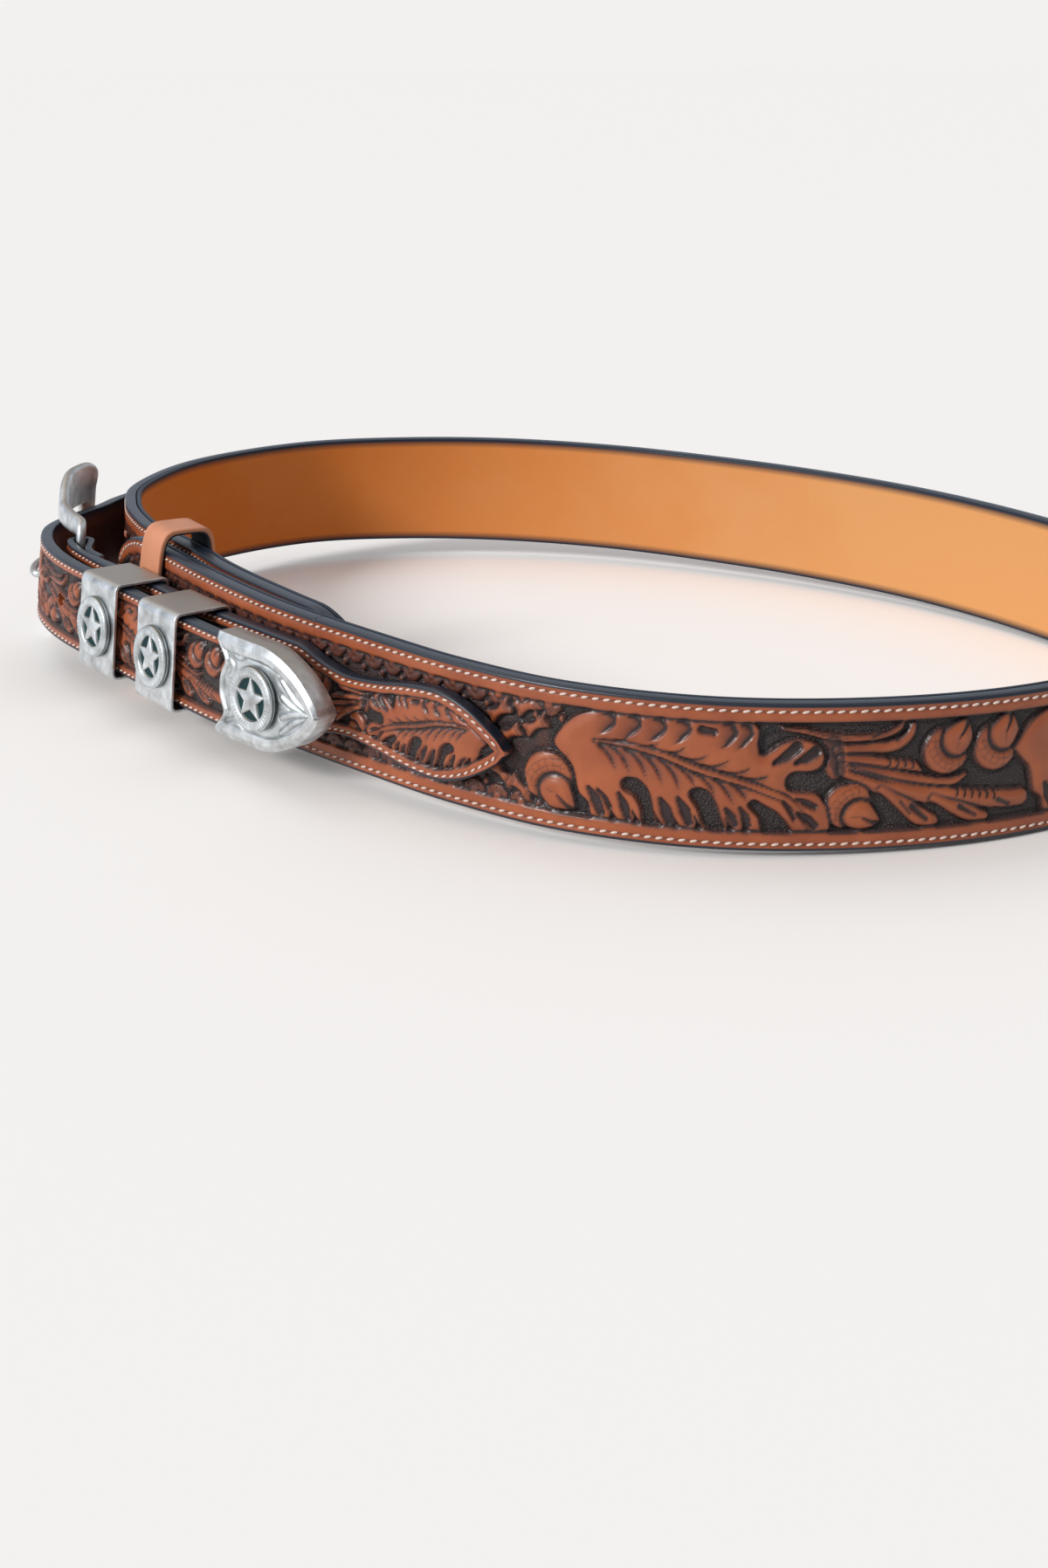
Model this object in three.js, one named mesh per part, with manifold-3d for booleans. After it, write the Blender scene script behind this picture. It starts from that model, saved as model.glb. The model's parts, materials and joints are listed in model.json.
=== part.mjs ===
import * as THREE from "three";
import { mergeVertices } from "three/addons/utils/BufferGeometryUtils.js";
import Module from "manifold-3d";

// A western tooled belt, fastened and standing on its lower edge. All lengths are in millimetres.
// Places on the belt are given as along (distance round the loop from the visible end of the body
// strap), out (distance outwards from the outer face of the body strap) and up (height on the strap).

// Plan of the loop
const loopLength = 332.6;
const loopDepth = 313;
const leftLean = 6; // degrees that the leather leans inwards at the buckle
const leanStart = 0.08; // share of the loop's length, left of its middle, where the lean begins
const leanReach = 0.33; // share of the loop's length over which it grows to its full
const restHeading = -28; // degrees, from the buckle to the far point that the belt rests on

// Straps
const bodyWidth = 38.1;
const toolingThickness = 3.4;
const liningThickness = 1.5;
const billetWidth = 25.4;
const billetThickness = 3.8;
const seat = 0.3; // gap between pieces that touch
const edgeBevel = 0.8;
const bodyOverlap = 140; // how far the hidden body end runs behind the visible one
const bodyEndTaper = 24;
const overlapSlack = 3.2; // how far the two body ends stand apart at the leather loop
const leafLength = 76;

// Stations along the loop
const toeAt = -53;
const barAt = -5;
const bulgeAt = -12;
const bulgeEndAt = 20;
const loopAt = 36;
const keeperAt = [41.5, 78];
const tipAt = 108;
const seamAt = 112; // the buckle billet lies flat on the body from here
const leafPointAt = 201;
const farSeamAt = -90; // the tip billet lies flat on the body beyond here
const farLeafPointAt = -190;

// Buckle
const barRadius = 1.8;
const barOut = 11;
const skivedThickness = 2.2;
const foldReturn = 20;
const frameHeight = 54;
const frameHeelHeight = 34;
const frameThickness = 3;
const frameBow = 5.6; // how far the middle of the frame stands out beyond its bar
const toeOut = 2.6; // how far the toe stands out beyond the bar
const toeBarWidth = 7;
const openingCorner = 1;
const tongueRadius = 1.2;
const tongueSlot = 7;
const bulgeReach = 19.1;
const holeRadius = 2.1;
const holePitch = 25.4;
const holeCount = 5;
const tongueHole = 3; // which hole the tongue is in, counted from the tip

// Keepers, leather loop, tip and star studs
const keeperLength = 21;
const keeperWall = 1;
const keeperSlack = 2;
const keeperEase = 0.7;
const keeperCorner = 2.2;
const loopWidth = 14;
const loopWall = 1.8;
const loopRise = 4.5; // how far the loop's opening reaches above and below the straps
const loopSquareness = 0.38; // 1 is an oval, 0 a square
const tipLength = 42;
const tipWall = 1;
const tipDepth = 7.6;
const tipBevel = 1.2;
const tipMouth = 4.6; // how deep the two notches of its mouth are
const studDiameter = 17.8;
const studHeight = 1.8;
const studPlate = 0.7;
const studBevel = 0.3;

const middle = bodyWidth / 2;
const bodyThickness = toolingThickness + seat + liningThickness;
const radians = THREE.MathUtils.degToRad;

// The outer face of the loop seen from above, as shares of its length and depth,
// from the visible body end along the near side, round the right end and back along the far side.
const loopPlan = [
  { x: -0.483, y: 0.055 },
  { x: -0.4215, y: -0.065 },
  { x: -0.319, y: -0.223 },
  { x: -0.215, y: -0.3415 },
  { x: -0.152, y: -0.404 },
  { x: -0.0725, y: -0.461 },
  { x: 0.043, y: -0.497 },
  { x: 0.1775, y: -0.489 },
  { x: 0.297, y: -0.443 },
  { x: 0.4165, y: -0.342 },
  { x: 0.4865, y: -0.173 },
  { x: 0.4765, y: -0.021 },
  { x: 0.4205, y: 0.102 },
  { x: 0.3225, y: 0.239 },
  { x: 0.2165, y: 0.3365 },
  { x: 0.1095, y: 0.408 },
  { x: -0.003, y: 0.465 },
  { x: -0.122, y: 0.497 },
  { x: -0.2345, y: 0.4955 },
  { x: -0.346, y: 0.461 },
  { x: -0.4525, y: 0.357 },
  { x: -0.494, y: 0.2465 },
  { x: -0.499, y: 0.154 },
];

// Share of bulgeReach that the tip billet stands out from its flat seat
const tipBilletRise = [
  { at: farLeafPointAt, rise: 0 },
  { at: farSeamAt, rise: 0 },
  { at: farSeamAt + 16, rise: 0.1 },
  { at: farSeamAt + 31, rise: 0.26 },
  { at: toeAt + 5, rise: 0.38 },
  { at: bulgeAt - 24, rise: 0.69 },
  { at: bulgeAt - 11, rise: 0.96 },
  { at: bulgeAt, rise: 1 },
  { at: bulgeAt + 17, rise: 0.94 },
  { at: bulgeEndAt, rise: 0.87 },
  { at: keeperAt[0], rise: 0.75 },
  { at: (keeperAt[0] + keeperAt[1]) / 2, rise: 0.68 },
  { at: keeperAt[1], rise: 0.635 },
  { at: tipAt, rise: 0.61 },
  { at: tipAt + tipLength, rise: 0.6 },
];

// Share of the bar's stand-off that the buckle billet is lifted off the body
const buckleBilletRise = [
  { at: barAt, rise: 1 },
  { at: barAt + 19, rise: 0.8 },
  { at: bulgeEndAt + 4, rise: 0.65 },
  { at: keeperAt[0], rise: 0.43 },
  { at: (keeperAt[0] + keeperAt[1]) / 2, rise: 0.28 },
  { at: keeperAt[1], rise: 0.2 },
  { at: (keeperAt[1] + seamAt) / 2, rise: 0.07 },
  { at: seamAt, rise: 0 },
  { at: leafPointAt, rise: 0 },
];

// How the hidden body end sinks behind the visible one, and the slack between the two
const overlapRows = [
  { at: toeAt + 3, sink: 0, slack: 0 },
  { at: toeAt + 26, sink: 0.42, slack: 0 },
  { at: 0, sink: 1, slack: 0.1 },
  { at: loopAt, sink: 1, slack: 1 },
  { at: loopAt + 26, sink: 1, slack: 0.6 },
  { at: keeperAt[1] + 22, sink: 1, slack: 0.5 },
  { at: bodyOverlap, sink: 1, slack: 0 },
];

// Sewn leaf-shaped ends: half height as a share of the strap's, against distance from the point
const leafOutline = [
  { back: 0, half: 0.05 },
  { back: 0.03, half: 0.24 },
  { back: 0.08, half: 0.47 },
  { back: 0.15, half: 0.72 },
  { back: 0.22, half: 0.88 },
  { back: 0.3, half: 0.96 },
  { back: 0.42, half: 0.9 },
  { back: 0.56, half: 0.75 },
  { back: 0.72, half: 0.66 },
  { back: 0.86, half: 0.79 },
  { back: 1, half: 1 },
];

// Rounded ends of the body strap: half height against distance from the end
const bodyEndOutline = [
  { back: 0, half: 0.3 },
  { back: 0.06, half: 0.45 },
  { back: 0.2, half: 0.64 },
  { back: 0.45, half: 0.83 },
  { back: 0.75, half: 0.96 },
  { back: 1, half: 1 },
];

// Upper half of the buckle frame's outline, from the heel to the toe: shares of its length,
// and of the way from the heel's half height to the toe's
const frameOutline = [
  { back: 0, flare: -0.3 },
  { back: 0.02, flare: 0.04 },
  { back: 0.07, flare: 0.2 },
  { back: 0.22, flare: 0.28 },
  { back: 0.4, flare: 0.38 },
  { back: 0.54, flare: 0.76 },
  { back: 0.66, flare: 0.97 },
  { back: 0.8, flare: 1 },
  { back: 0.93, flare: 0.93 },
  { back: 1, flare: 0.62 },
  { back: 0.985, flare: 0.1 },
];

const closedPlan = new THREE.CatmullRomCurve3(
  loopPlan.map((row) => new THREE.Vector3(row.x * loopLength, row.y * loopDepth, 0)),
  true,
  "centripetal",
);
closedPlan.arcLengthDivisions = 3000;
const girth = closedPlan.getLength();

// A smooth line through a table's rows, level beyond its ends
function through(rows, axis, key, value) {
  const last = rows.length - 1;
  if (value <= rows[0][axis]) return rows[0][key];
  if (value >= rows[last][axis]) return rows[last][key];
  let i = 0;
  while (value > rows[i + 1][axis]) i++;
  const slope = (a, b) => (rows[b][key] - rows[a][key]) / (rows[b][axis] - rows[a][axis]);
  const here = slope(i, i + 1);
  const soften = (before, after) => (before * after > 0 ? (before + after) / 2 : 0);
  const start = i > 0 ? soften(slope(i - 1, i), here) : 0;
  const end = i + 1 < last ? soften(here, slope(i + 1, i + 2)) : 0;
  const width = rows[i + 1][axis] - rows[i][axis];
  const t = (value - rows[i][axis]) / width;
  return (
    rows[i][key] * (1 + 2 * t) * (1 - t) ** 2 +
    rows[i + 1][key] * t * t * (3 - 2 * t) +
    width * t * (1 - t) * (start * (1 - t) - end * t)
  );
}

// Where the loop's outer face is, and which way it runs and faces
function planAt(along) {
  const share = THREE.MathUtils.euclideanModulo(along / girth, 1);
  const point = closedPlan.getPointAt(share);
  const tangent = closedPlan.getTangentAt(share);
  return { point, tangent, outward: new THREE.Vector3(tangent.y, -tangent.x, 0) };
}

function leanAt(x) {
  const toLeft = -x / loopLength;
  const share = THREE.MathUtils.smoothstep(toLeft, leanStart, leanStart + leanReach);
  return Math.tan(radians(leftLean)) * share;
}

function place(along, out, up) {
  const { point, outward } = planAt(along);
  const lean = (bodyWidth - up) * leanAt(point.x);
  return point.clone().addScaledVector(outward, out + lean).setZ(up);
}

// A straight-sided frame at one station, turned to follow what it holds
function flatPlace(station, turn) {
  const { point, tangent, outward } = planAt(station);
  const axis = new THREE.Vector3(0, 0, 1);
  const run = tangent.clone().applyAxisAngle(axis, turn);
  const face = outward.clone().applyAxisAngle(axis, turn);
  const lean = leanAt(point.x);
  return (along, out, up) =>
    point
      .clone()
      .addScaledVector(run, along)
      .addScaledVector(face, out + (bodyWidth - up) * lean)
      .setZ(up);
}

// A closed skin over rings of equal size, capped at both ends or joined round
function skin(rings, joined) {
  const size = rings[0].length;
  const points = rings.flat();
  const faces = [];
  const count = joined ? rings.length : rings.length - 1;
  for (let r = 0; r < count; r++) {
    const a = r * size;
    const b = ((r + 1) % rings.length) * size;
    for (let k = 0; k < size; k++) {
      const n = (k + 1) % size;
      faces.push(a + k, b + k, b + n, a + k, b + n, a + n);
    }
  }
  if (!joined) {
    const end = (rings.length - 1) * size;
    for (let k = 1; k < size - 1; k++) {
      faces.push(0, k, k + 1);
      faces.push(end, end + k + 1, end + k);
    }
  }
  let volume = 0;
  for (let i = 0; i < faces.length; i += 3) {
    const [a, b, c] = faces.slice(i, i + 3).map((index) => points[index]);
    volume += a.dot(b.clone().cross(c));
  }
  if (volume < 0) faces.reverse();
  const geometry = new THREE.BufferGeometry().setFromPoints(points);
  geometry.setIndex(faces);
  return geometry;
}

// Eight-cornered section between two faces and two edges
function section(low, high, inner, outer, bevel) {
  const b = Math.min(bevel, (high - low) / 3, (outer - inner) / 3);
  return [
    [inner + b, low],
    [inner, low + b],
    [inner, high - b],
    [inner + b, high],
    [outer - b, high],
    [outer, high - b],
    [outer, low + b],
    [outer - b, low],
  ];
}

// Plain four-cornered section
function plainSection(low, high, inner, outer) {
  return [
    [inner, low],
    [inner, high],
    [outer, high],
    [outer, low],
  ];
}

// A strap that follows the loop. shape(along) gives its faces and its edges.
function strap(stations, shape, corners = section) {
  const rings = stations.map((along) => {
    const { inner, outer, half } = shape(along);
    const around = corners(middle - half, middle + half, inner, outer, edgeBevel);
    return around.map(([out, up]) => place(along, out, up));
  });
  return skin(rings, false);
}

function range(from, to, step) {
  const count = Math.max(1, Math.round(Math.abs(to - from) / step));
  return Array.from({ length: count + 1 }, (_, i) => from + ((to - from) * i) / count);
}

const wasm = await Module();
wasm.setup();

function solid(geometry) {
  const bare = geometry.clone();
  bare.deleteAttribute("normal");
  bare.deleteAttribute("uv");
  const merged = mergeVertices(bare, 1e-4);
  return new wasm.Manifold(
    new wasm.Mesh({
      numProp: 3,
      vertProperties: new Float32Array(merged.attributes.position.array),
      triVerts: new Uint32Array(merged.index.array),
    }),
  );
}

function fromSolid(made) {
  const mesh = made.getMesh();
  const geometry = new THREE.BufferGeometry();
  geometry.setAttribute("position", new THREE.BufferAttribute(mesh.vertProperties, 3));
  geometry.setIndex(new THREE.BufferAttribute(mesh.triVerts, 1));
  return geometry;
}

// Moves a flat extrusion's corners to their place on the belt
function bent(geometry, move) {
  const position = geometry.attributes.position;
  for (let i = 0; i < position.count; i++) {
    const p = move(position.getX(i), position.getY(i), position.getZ(i));
    position.setXYZ(i, p.x, p.y, p.z);
  }
  return geometry;
}

// Body strap: the tooled outer leather and its smooth lining

function bodyFace(along) {
  const past = along - girth;
  const sink = through(overlapRows, "at", "sink", past);
  const slack = through(overlapRows, "at", "slack", past);
  return along < girth / 2 ? 0 : -sink * (bodyThickness + seat + overlapSlack * slack);
}

function bodyHalf(along) {
  const fromEnd = Math.min(along, girth + bodyOverlap - along);
  return middle * through(bodyEndOutline, "back", "half", fromEnd / bodyEndTaper);
}

const bodyStep = 10;
const bodyStations = [
  ...bodyEndOutline.map((row) => row.back * bodyEndTaper),
  ...range(bodyEndTaper, girth + bodyOverlap - bodyEndTaper, bodyStep).slice(1, -1),
  ...bodyEndOutline.map((row) => girth + bodyOverlap - row.back * bodyEndTaper).reverse(),
];

function bodyStrap() {
  return strap(bodyStations, (along) => {
    const outer = bodyFace(along);
    return { inner: outer - toolingThickness, outer, half: bodyHalf(along) };
  });
}

function bodyLining() {
  return strap(bodyStations, (along) => {
    const outer = bodyFace(along) - toolingThickness - seat;
    return { inner: outer - liningThickness, outer, half: bodyHalf(along) };
  }, plainSection);
}

// Tip billet: sewn to the far side by its leaf-shaped end, through the buckle and into the tip

function tipBilletInner(along) {
  return seat + bulgeReach * through(tipBilletRise, "at", "rise", along);
}

function leafHalf(fromPoint) {
  return (billetWidth / 2) * through(leafOutline, "back", "half", fromPoint / leafLength);
}

const leafStations = leafOutline.map((row) => row.back * leafLength);
const tipBilletEnd = tipAt + tipLength - 3 * tipDepth;

function tipBillet() {
  const stations = [
    ...leafStations.map((back) => farLeafPointAt + back),
    ...range(farLeafPointAt + leafLength, tipBilletEnd, 6).slice(1),
  ];
  const whole = strap(stations, (along) => {
    const inner = tipBilletInner(along);
    const half = leafHalf(along - farLeafPointAt);
    return { inner, outer: inner + billetThickness, half };
  });
  const holes = Array.from({ length: holeCount }, (_, i) => {
    const at = bulgeAt + (tongueHole - 1 - i) * holePitch;
    const inner = tipBilletInner(at);
    const ring = (out) =>
      range(0, 330, 30).map((turn) => {
        const a = radians(turn);
        return place(at + holeRadius * Math.cos(a), out, middle + holeRadius * Math.sin(a));
      });
    const margin = billetThickness;
    return solid(skin([ring(inner - margin), ring(inner + billetThickness + margin)], false));
  });
  return fromSolid(holes.reduce((made, hole) => made.subtract(hole), solid(whole)));
}

// Buckle billet: sewn to the near side by its leaf-shaped end and folded round the buckle's bar

function buckleBilletInner(along) {
  const atBar = barOut + barRadius;
  return seat + atBar * through(buckleBilletRise, "at", "rise", along);
}

function buckleBilletThickness(along) {
  const share = THREE.MathUtils.smoothstep(along, barAt + 12, bulgeEndAt + 12);
  return skivedThickness + (billetThickness - skivedThickness) * share;
}

// Centre line of the fold in along and out: over the bar, round it and back underneath
function foldLine() {
  const stations = [
    ...leafStations.map((back) => leafPointAt - back),
    ...range(leafPointAt - leafLength, barAt, 5).slice(1),
  ];
  const line = stations.map((at) => {
    const thickness = buckleBilletThickness(at);
    return { at, out: buckleBilletInner(at) + thickness / 2, thickness };
  });
  const radius = barRadius + seat + skivedThickness / 2;
  for (const turn of range(0, 180, 22.5).slice(1)) {
    const a = radians(90 + turn);
    line.push({ at: barAt + radius * Math.cos(a), out: barOut + radius * Math.sin(a) });
  }
  for (const step of range(0, foldReturn, 3).slice(1)) {
    const at = barAt + step;
    const pinched = buckleBilletInner(at) - seat - skivedThickness / 2;
    const share = THREE.MathUtils.smoothstep(step, 0, foldReturn * 0.7);
    line.push({ at, out: THREE.MathUtils.lerp(barOut - radius, pinched, share) });
  }
  return line.map((row) => ({ thickness: skivedThickness, ...row }));
}

function buckleBillet() {
  const line = foldLine();
  const rings = line.map((row, i) => {
    const before = line[Math.max(0, i - 1)];
    const after = line[Math.min(line.length - 1, i + 1)];
    const run = new THREE.Vector2(after.at - before.at, after.out - before.out).normalize();
    const half = leafHalf(i < line.length / 2 ? leafPointAt - row.at : leafLength);
    const t = row.thickness / 2;
    return section(middle - half, middle + half, -t, t, edgeBevel).map(([across, up]) =>
      place(row.at + run.y * across, row.out - run.x * across, up),
    );
  });
  const slot = new THREE.BoxGeometry(1, 1, 1, 6, 1, 6);
  const reach = barRadius + seat + skivedThickness + tongueRadius;
  const slotAt = (x) => barAt + (x * 2 - 0.2) * reach;
  bent(slot, (x, y, z) => place(slotAt(x), barOut + z * 2.4 * reach, middle + y * tongueSlot));
  return fromSolid(solid(skin(rings, false)).subtract(solid(slot)));
}

// Buckle: a flared frame with its bar at the heel, and a tongue

const frameLength = barAt - toeAt + 2 * barRadius;

// How far out the frame's middle lies, at a distance from the heel: flat at the bar, then bowed
function frameOut(fromHeel) {
  const bar = 2 * barRadius;
  const share = THREE.MathUtils.clamp((fromHeel - bar) / (frameLength - bar), 0, 1);
  return barOut + frameBow * Math.sin(Math.PI * share) + toeOut * share;
}

// Where a ray from the middle of the opening meets an outline of [back, up] corners
function rayLength(corners, centre, angle) {
  const ray = new THREE.Vector2(Math.cos(angle), Math.sin(angle));
  let best = Infinity;
  corners.forEach((a, i) => {
    const b = corners[(i + 1) % corners.length];
    const edge = [b[0] - a[0], b[1] - a[1]];
    const cross = ray.x * edge[1] - ray.y * edge[0];
    if (Math.abs(cross) < 1e-9) return;
    const far = ((a[0] - centre) * edge[1] - a[1] * edge[0]) / cross;
    const share = ((a[0] - centre) * ray.y - a[1] * ray.x) / cross;
    if (far > 0 && share >= -1e-9 && share <= 1 + 1e-9) best = Math.min(best, far);
  });
  return best;
}

function roundedCorners(from, to, half, radius) {
  const shape = new THREE.Shape();
  shape.moveTo(from + radius, -half);
  shape.lineTo(to - radius, -half);
  shape.absarc(to - radius, -half + radius, radius, -Math.PI / 2, 0);
  shape.lineTo(to, half - radius);
  shape.absarc(to - radius, half - radius, radius, 0, Math.PI / 2);
  shape.lineTo(from + radius, half);
  shape.absarc(from + radius, half - radius, radius, Math.PI / 2, Math.PI);
  shape.lineTo(from, -half + radius);
  shape.absarc(from + radius, -half + radius, radius, Math.PI, Math.PI * 1.5);
  return shape.getPoints(5).map((p) => [p.x, p.y]);
}

function buckleFrame() {
  const heel = frameHeelHeight / 2;
  const flare = frameHeight / 2 - heel;
  const reach = frameLength;
  const upper = new THREE.SplineCurve(
    frameOutline.map((row) => new THREE.Vector2(row.back * reach, heel + row.flare * flare)),
  );
  const top = upper.getPoints(60).map((p) => [p.x, p.y]);
  const outline = [...top, ...top.map(([x, y]) => [x, -y]).reverse()];
  const opening = roundedCorners(
    barRadius * 2,
    reach - toeBarWidth,
    billetWidth / 2 + 2 * seat,
    openingCorner,
  );
  const centre = reach / 2;
  const toFrame = (x, up, out) =>
    place(barAt + barRadius - x, frameOut(x) + out, middle + up);
  const rings = range(0, 354, 6).map((turn) => {
    const angle = radians(turn);
    const inside = rayLength(opening, centre, angle);
    const outside = rayLength(outline, centre, angle);
    const half = frameThickness / 2;
    return section(inside, outside, -half, half, edgeBevel).map(([out, far]) =>
      toFrame(centre + far * Math.cos(angle), far * Math.sin(angle), out),
    );
  });
  return skin(rings, true);
}

function buckleTongue() {
  const clear = barRadius + seat + tongueRadius;
  const holeOut = tipBilletInner(bulgeAt) + billetThickness / 2;
  const onFrame = (fromHeel, above) => ({
    at: barAt + barRadius - fromHeel,
    out: frameOut(fromHeel) + frameThickness / 2 + tongueRadius + seat + above,
  });
  const billetFace = (at) => tipBilletInner(at) + billetThickness + tongueRadius + seat;
  const line = [
    { at: barAt + clear * 0.75, out: barOut - clear * 0.66 },
    { at: barAt, out: barOut - clear },
    { at: barAt - clear * 0.8, out: barOut - clear * 0.6 },
    { at: barAt - clear, out: barOut + clear * 0.3 },
    { at: bulgeAt + 0.3, out: holeOut - billetThickness },
    { at: bulgeAt, out: holeOut },
    { at: bulgeAt - 0.5, out: holeOut + billetThickness * 0.75 },
    { at: bulgeAt - 8, out: billetFace(bulgeAt - 8) + 0.6 },
    onFrame(frameLength * 0.6, 0.6),
    onFrame(frameLength - toeBarWidth, 0.1),
    onFrame(frameLength - toeBarWidth / 2, 0),
    onFrame(frameLength - toeBarWidth / 8, 0),
  ];
  const curve = new THREE.CatmullRomCurve3(
    line.map((row) => place(row.at, row.out, middle)),
    false,
    "centripetal",
  );
  const wire = new THREE.Shape().absarc(0, 0, tongueRadius, 0, Math.PI * 2);
  return new THREE.ExtrudeGeometry(wire, { steps: 44, curveSegments: 4, extrudePath: curve });
}

// Metal keepers: square-cornered bands over both billets

function keeper(station) {
  const back = buckleBilletInner(station) - seat - keeperEase - keeperWall;
  const front = tipBilletInner(station) + billetThickness + keeperSlack + keeperWall;
  const step = keeperLength / 2;
  const slope = (inner) => (inner(station + step) - inner(station - step)) / keeperLength;
  const turn = -Math.atan((slope(tipBilletInner) + slope(buckleBilletInner)) / 2);
  const spot = flatPlace(station, turn);
  const half = billetWidth / 2 + 2 * seat;
  const band = (grow, corner) =>
    roundedCorners(back + keeperWall - grow, front - keeperWall + grow, half + grow, corner);
  const outer = band(keeperWall, keeperCorner);
  const inner = band(0, keeperCorner - keeperWall);
  const ringAt = (corners, along) => corners.map(([out, up]) => spot(along, out, middle + up));
  const skinned = (corners, reach) =>
    solid(skin([ringAt(corners, -reach), ringAt(corners, reach)], false));
  const made = skinned(outer, step).subtract(skinned(inner, keeperLength));
  return { geometry: fromSolid(made), spot, front };
}

// Leather loop behind the keepers: an arched band round both body ends

function leatherLoop() {
  const outer = 2 * seat;
  const inner = -2 * bodyThickness - overlapSlack - 3 * seat;
  const centre = (inner + outer) / 2;
  const square = (value) => Math.sign(value) * Math.abs(value) ** loopSquareness;
  const ring = (grow, along) =>
    range(0, 348, 12).map((turn) => {
      const across = (outer - inner) / 2 + grow;
      const tall = middle + loopRise + grow;
      const a = radians(turn);
      return place(along, centre + across * square(Math.cos(a)), middle + tall * square(Math.sin(a)));
    });
  const stations = range(loopAt - loopWidth / 2, loopAt + loopWidth / 2, 5);
  const open = range(loopAt - loopWidth, loopAt + loopWidth, 7);
  const band = solid(skin(stations.map((at) => ring(loopWall, at)), false));
  return fromSolid(band.subtract(solid(skin(open.map((at) => ring(0, at)), false))));
}

// Belt tip: a pointed metal cap with a bracket-shaped mouth

function beltTip() {
  const half = billetWidth / 2 + 2 * seat + tipWall;
  const shape = new THREE.Shape();
  shape.moveTo(0, half);
  shape.lineTo(tipMouth * 0.24, half * 0.8);
  shape.quadraticCurveTo(tipMouth * 0.8, half * 0.66, tipMouth, half * 0.46);
  shape.quadraticCurveTo(tipMouth * 0.5, half * 0.3, tipMouth * 0.5, 0);
  shape.quadraticCurveTo(tipMouth * 0.5, -half * 0.3, tipMouth, -half * 0.46);
  shape.quadraticCurveTo(tipMouth * 0.8, -half * 0.66, tipMouth * 0.24, -half * 0.8);
  shape.lineTo(0, -half);
  shape.lineTo(tipLength * 0.42, -half);
  shape.quadraticCurveTo(tipLength * 0.8, -half * 0.92, tipLength, -half * 0.04);
  shape.lineTo(tipLength, half * 0.04);
  shape.quadraticCurveTo(tipLength * 0.8, half * 0.92, tipLength * 0.42, half);
  const cap = new THREE.ExtrudeGeometry(shape, {
    depth: tipDepth - 2 * tipBevel,
    bevelThickness: tipBevel,
    bevelSize: tipBevel,
    bevelOffset: -tipBevel,
    bevelSegments: 1,
    curveSegments: 6,
  });
  const centre = tipBilletInner(tipAt + tipLength / 2) + billetThickness / 2;
  const outAt = (z) => centre - tipDepth / 2 + tipBevel + z;
  bent(cap, (x, y, z) => place(tipAt + x, outAt(z), middle + y));
  const pocketStations = range(tipAt - tipDepth, tipBilletEnd + 2 * seat, 5);
  const pocket = strap(pocketStations, (along) => {
    const inner = tipBilletInner(along) - seat;
    return { inner, outer: inner + billetThickness + 2 * seat, half: billetWidth / 2 + 2 * seat };
  });
  return fromSolid(solid(cap).subtract(solid(pocket)));
}

// Star stud: a ring with a five-pointed star over a plain plate, on a face given by spot(x, out, y)

function starStud(spot) {
  const radius = studDiameter / 2;
  const ringInner = radius * 0.66;
  const notch = ringInner * 0.4;
  const spoke = (far, turn) =>
    new THREE.Vector2(far * Math.cos(radians(90 + turn)), far * Math.sin(radians(90 + turn)));
  const disc = new THREE.Shape(range(0, 345, 15).map((turn) => spoke(radius, turn)));
  const tipGap = 9;
  for (const arm of range(0, 288, 72)) {
    const rim = range(arm + tipGap, arm + 72 - tipGap, 18).map((turn) => spoke(ringInner, turn));
    disc.holes.push(new THREE.Path([spoke(notch, arm + 36), ...rim]));
  }
  const star = new THREE.ExtrudeGeometry(disc, {
    depth: studHeight - studPlate - studBevel,
    bevelThickness: studBevel,
    bevelSize: studBevel,
    bevelOffset: -studBevel,
    bevelSegments: 1,
  });
  const plate = new THREE.CylinderGeometry(radius * 0.94, radius * 0.94, studPlate * 2, 24);
  plate.rotateX(Math.PI / 2).translate(0, 0, studPlate);
  const move = (x, y, z) => spot(x, z, y);
  bent(star, (x, y, z) => move(x, y, z + studPlate));
  bent(plate, move);
  return fromSolid(solid(star).add(solid(plate)));
}

// Finishes
const russet = new THREE.MeshStandardMaterial({ color: 0x8f4526, roughness: 0.5, metalness: 0 });
const tan = new THREE.MeshStandardMaterial({ color: 0xc07a35, roughness: 0.55, metalness: 0 });
const pale = new THREE.MeshStandardMaterial({ color: 0xb9805c, roughness: 0.6, metalness: 0 });
const silver = new THREE.MeshStandardMaterial({ color: 0xc9c7c0, roughness: 0.3, metalness: 1 });

const belt = new THREE.Group();

function add(name, geometry, material) {
  const flat = geometry.index ? geometry.toNonIndexed() : geometry;
  flat.computeVertexNormals();
  const mesh = new THREE.Mesh(flat, material);
  mesh.name = name;
  belt.add(mesh);
}

add("body_strap", bodyStrap(), russet);
add("body_lining", bodyLining(), tan);
add("buckle_billet", buckleBillet(), russet);
add("tip_billet", tipBillet(), russet);
add("leather_loop", leatherLoop(), pale);
add("buckle_frame", buckleFrame(), silver);
add("buckle_tongue", buckleTongue(), silver);
keeperAt.forEach((station, i) => {
  const { geometry, spot, front } = keeper(station);
  add(`keeper_${i + 1}`, geometry, silver);
  add(`star_stud_${i + 1}`, starStud((x, out, y) => spot(x, front + seat + out, middle + y)), silver);
});
add("belt_tip", beltTip(), silver);
const tipFace = tipBilletInner(tipAt + tipLength / 2) + (billetThickness + tipDepth) / 2;
const tipStudAt = tipAt + tipLength * 0.42;
add("star_stud_3", starStud((x, out, y) => place(tipStudAt + x, tipFace + seat + out, middle + y)), silver);

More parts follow.
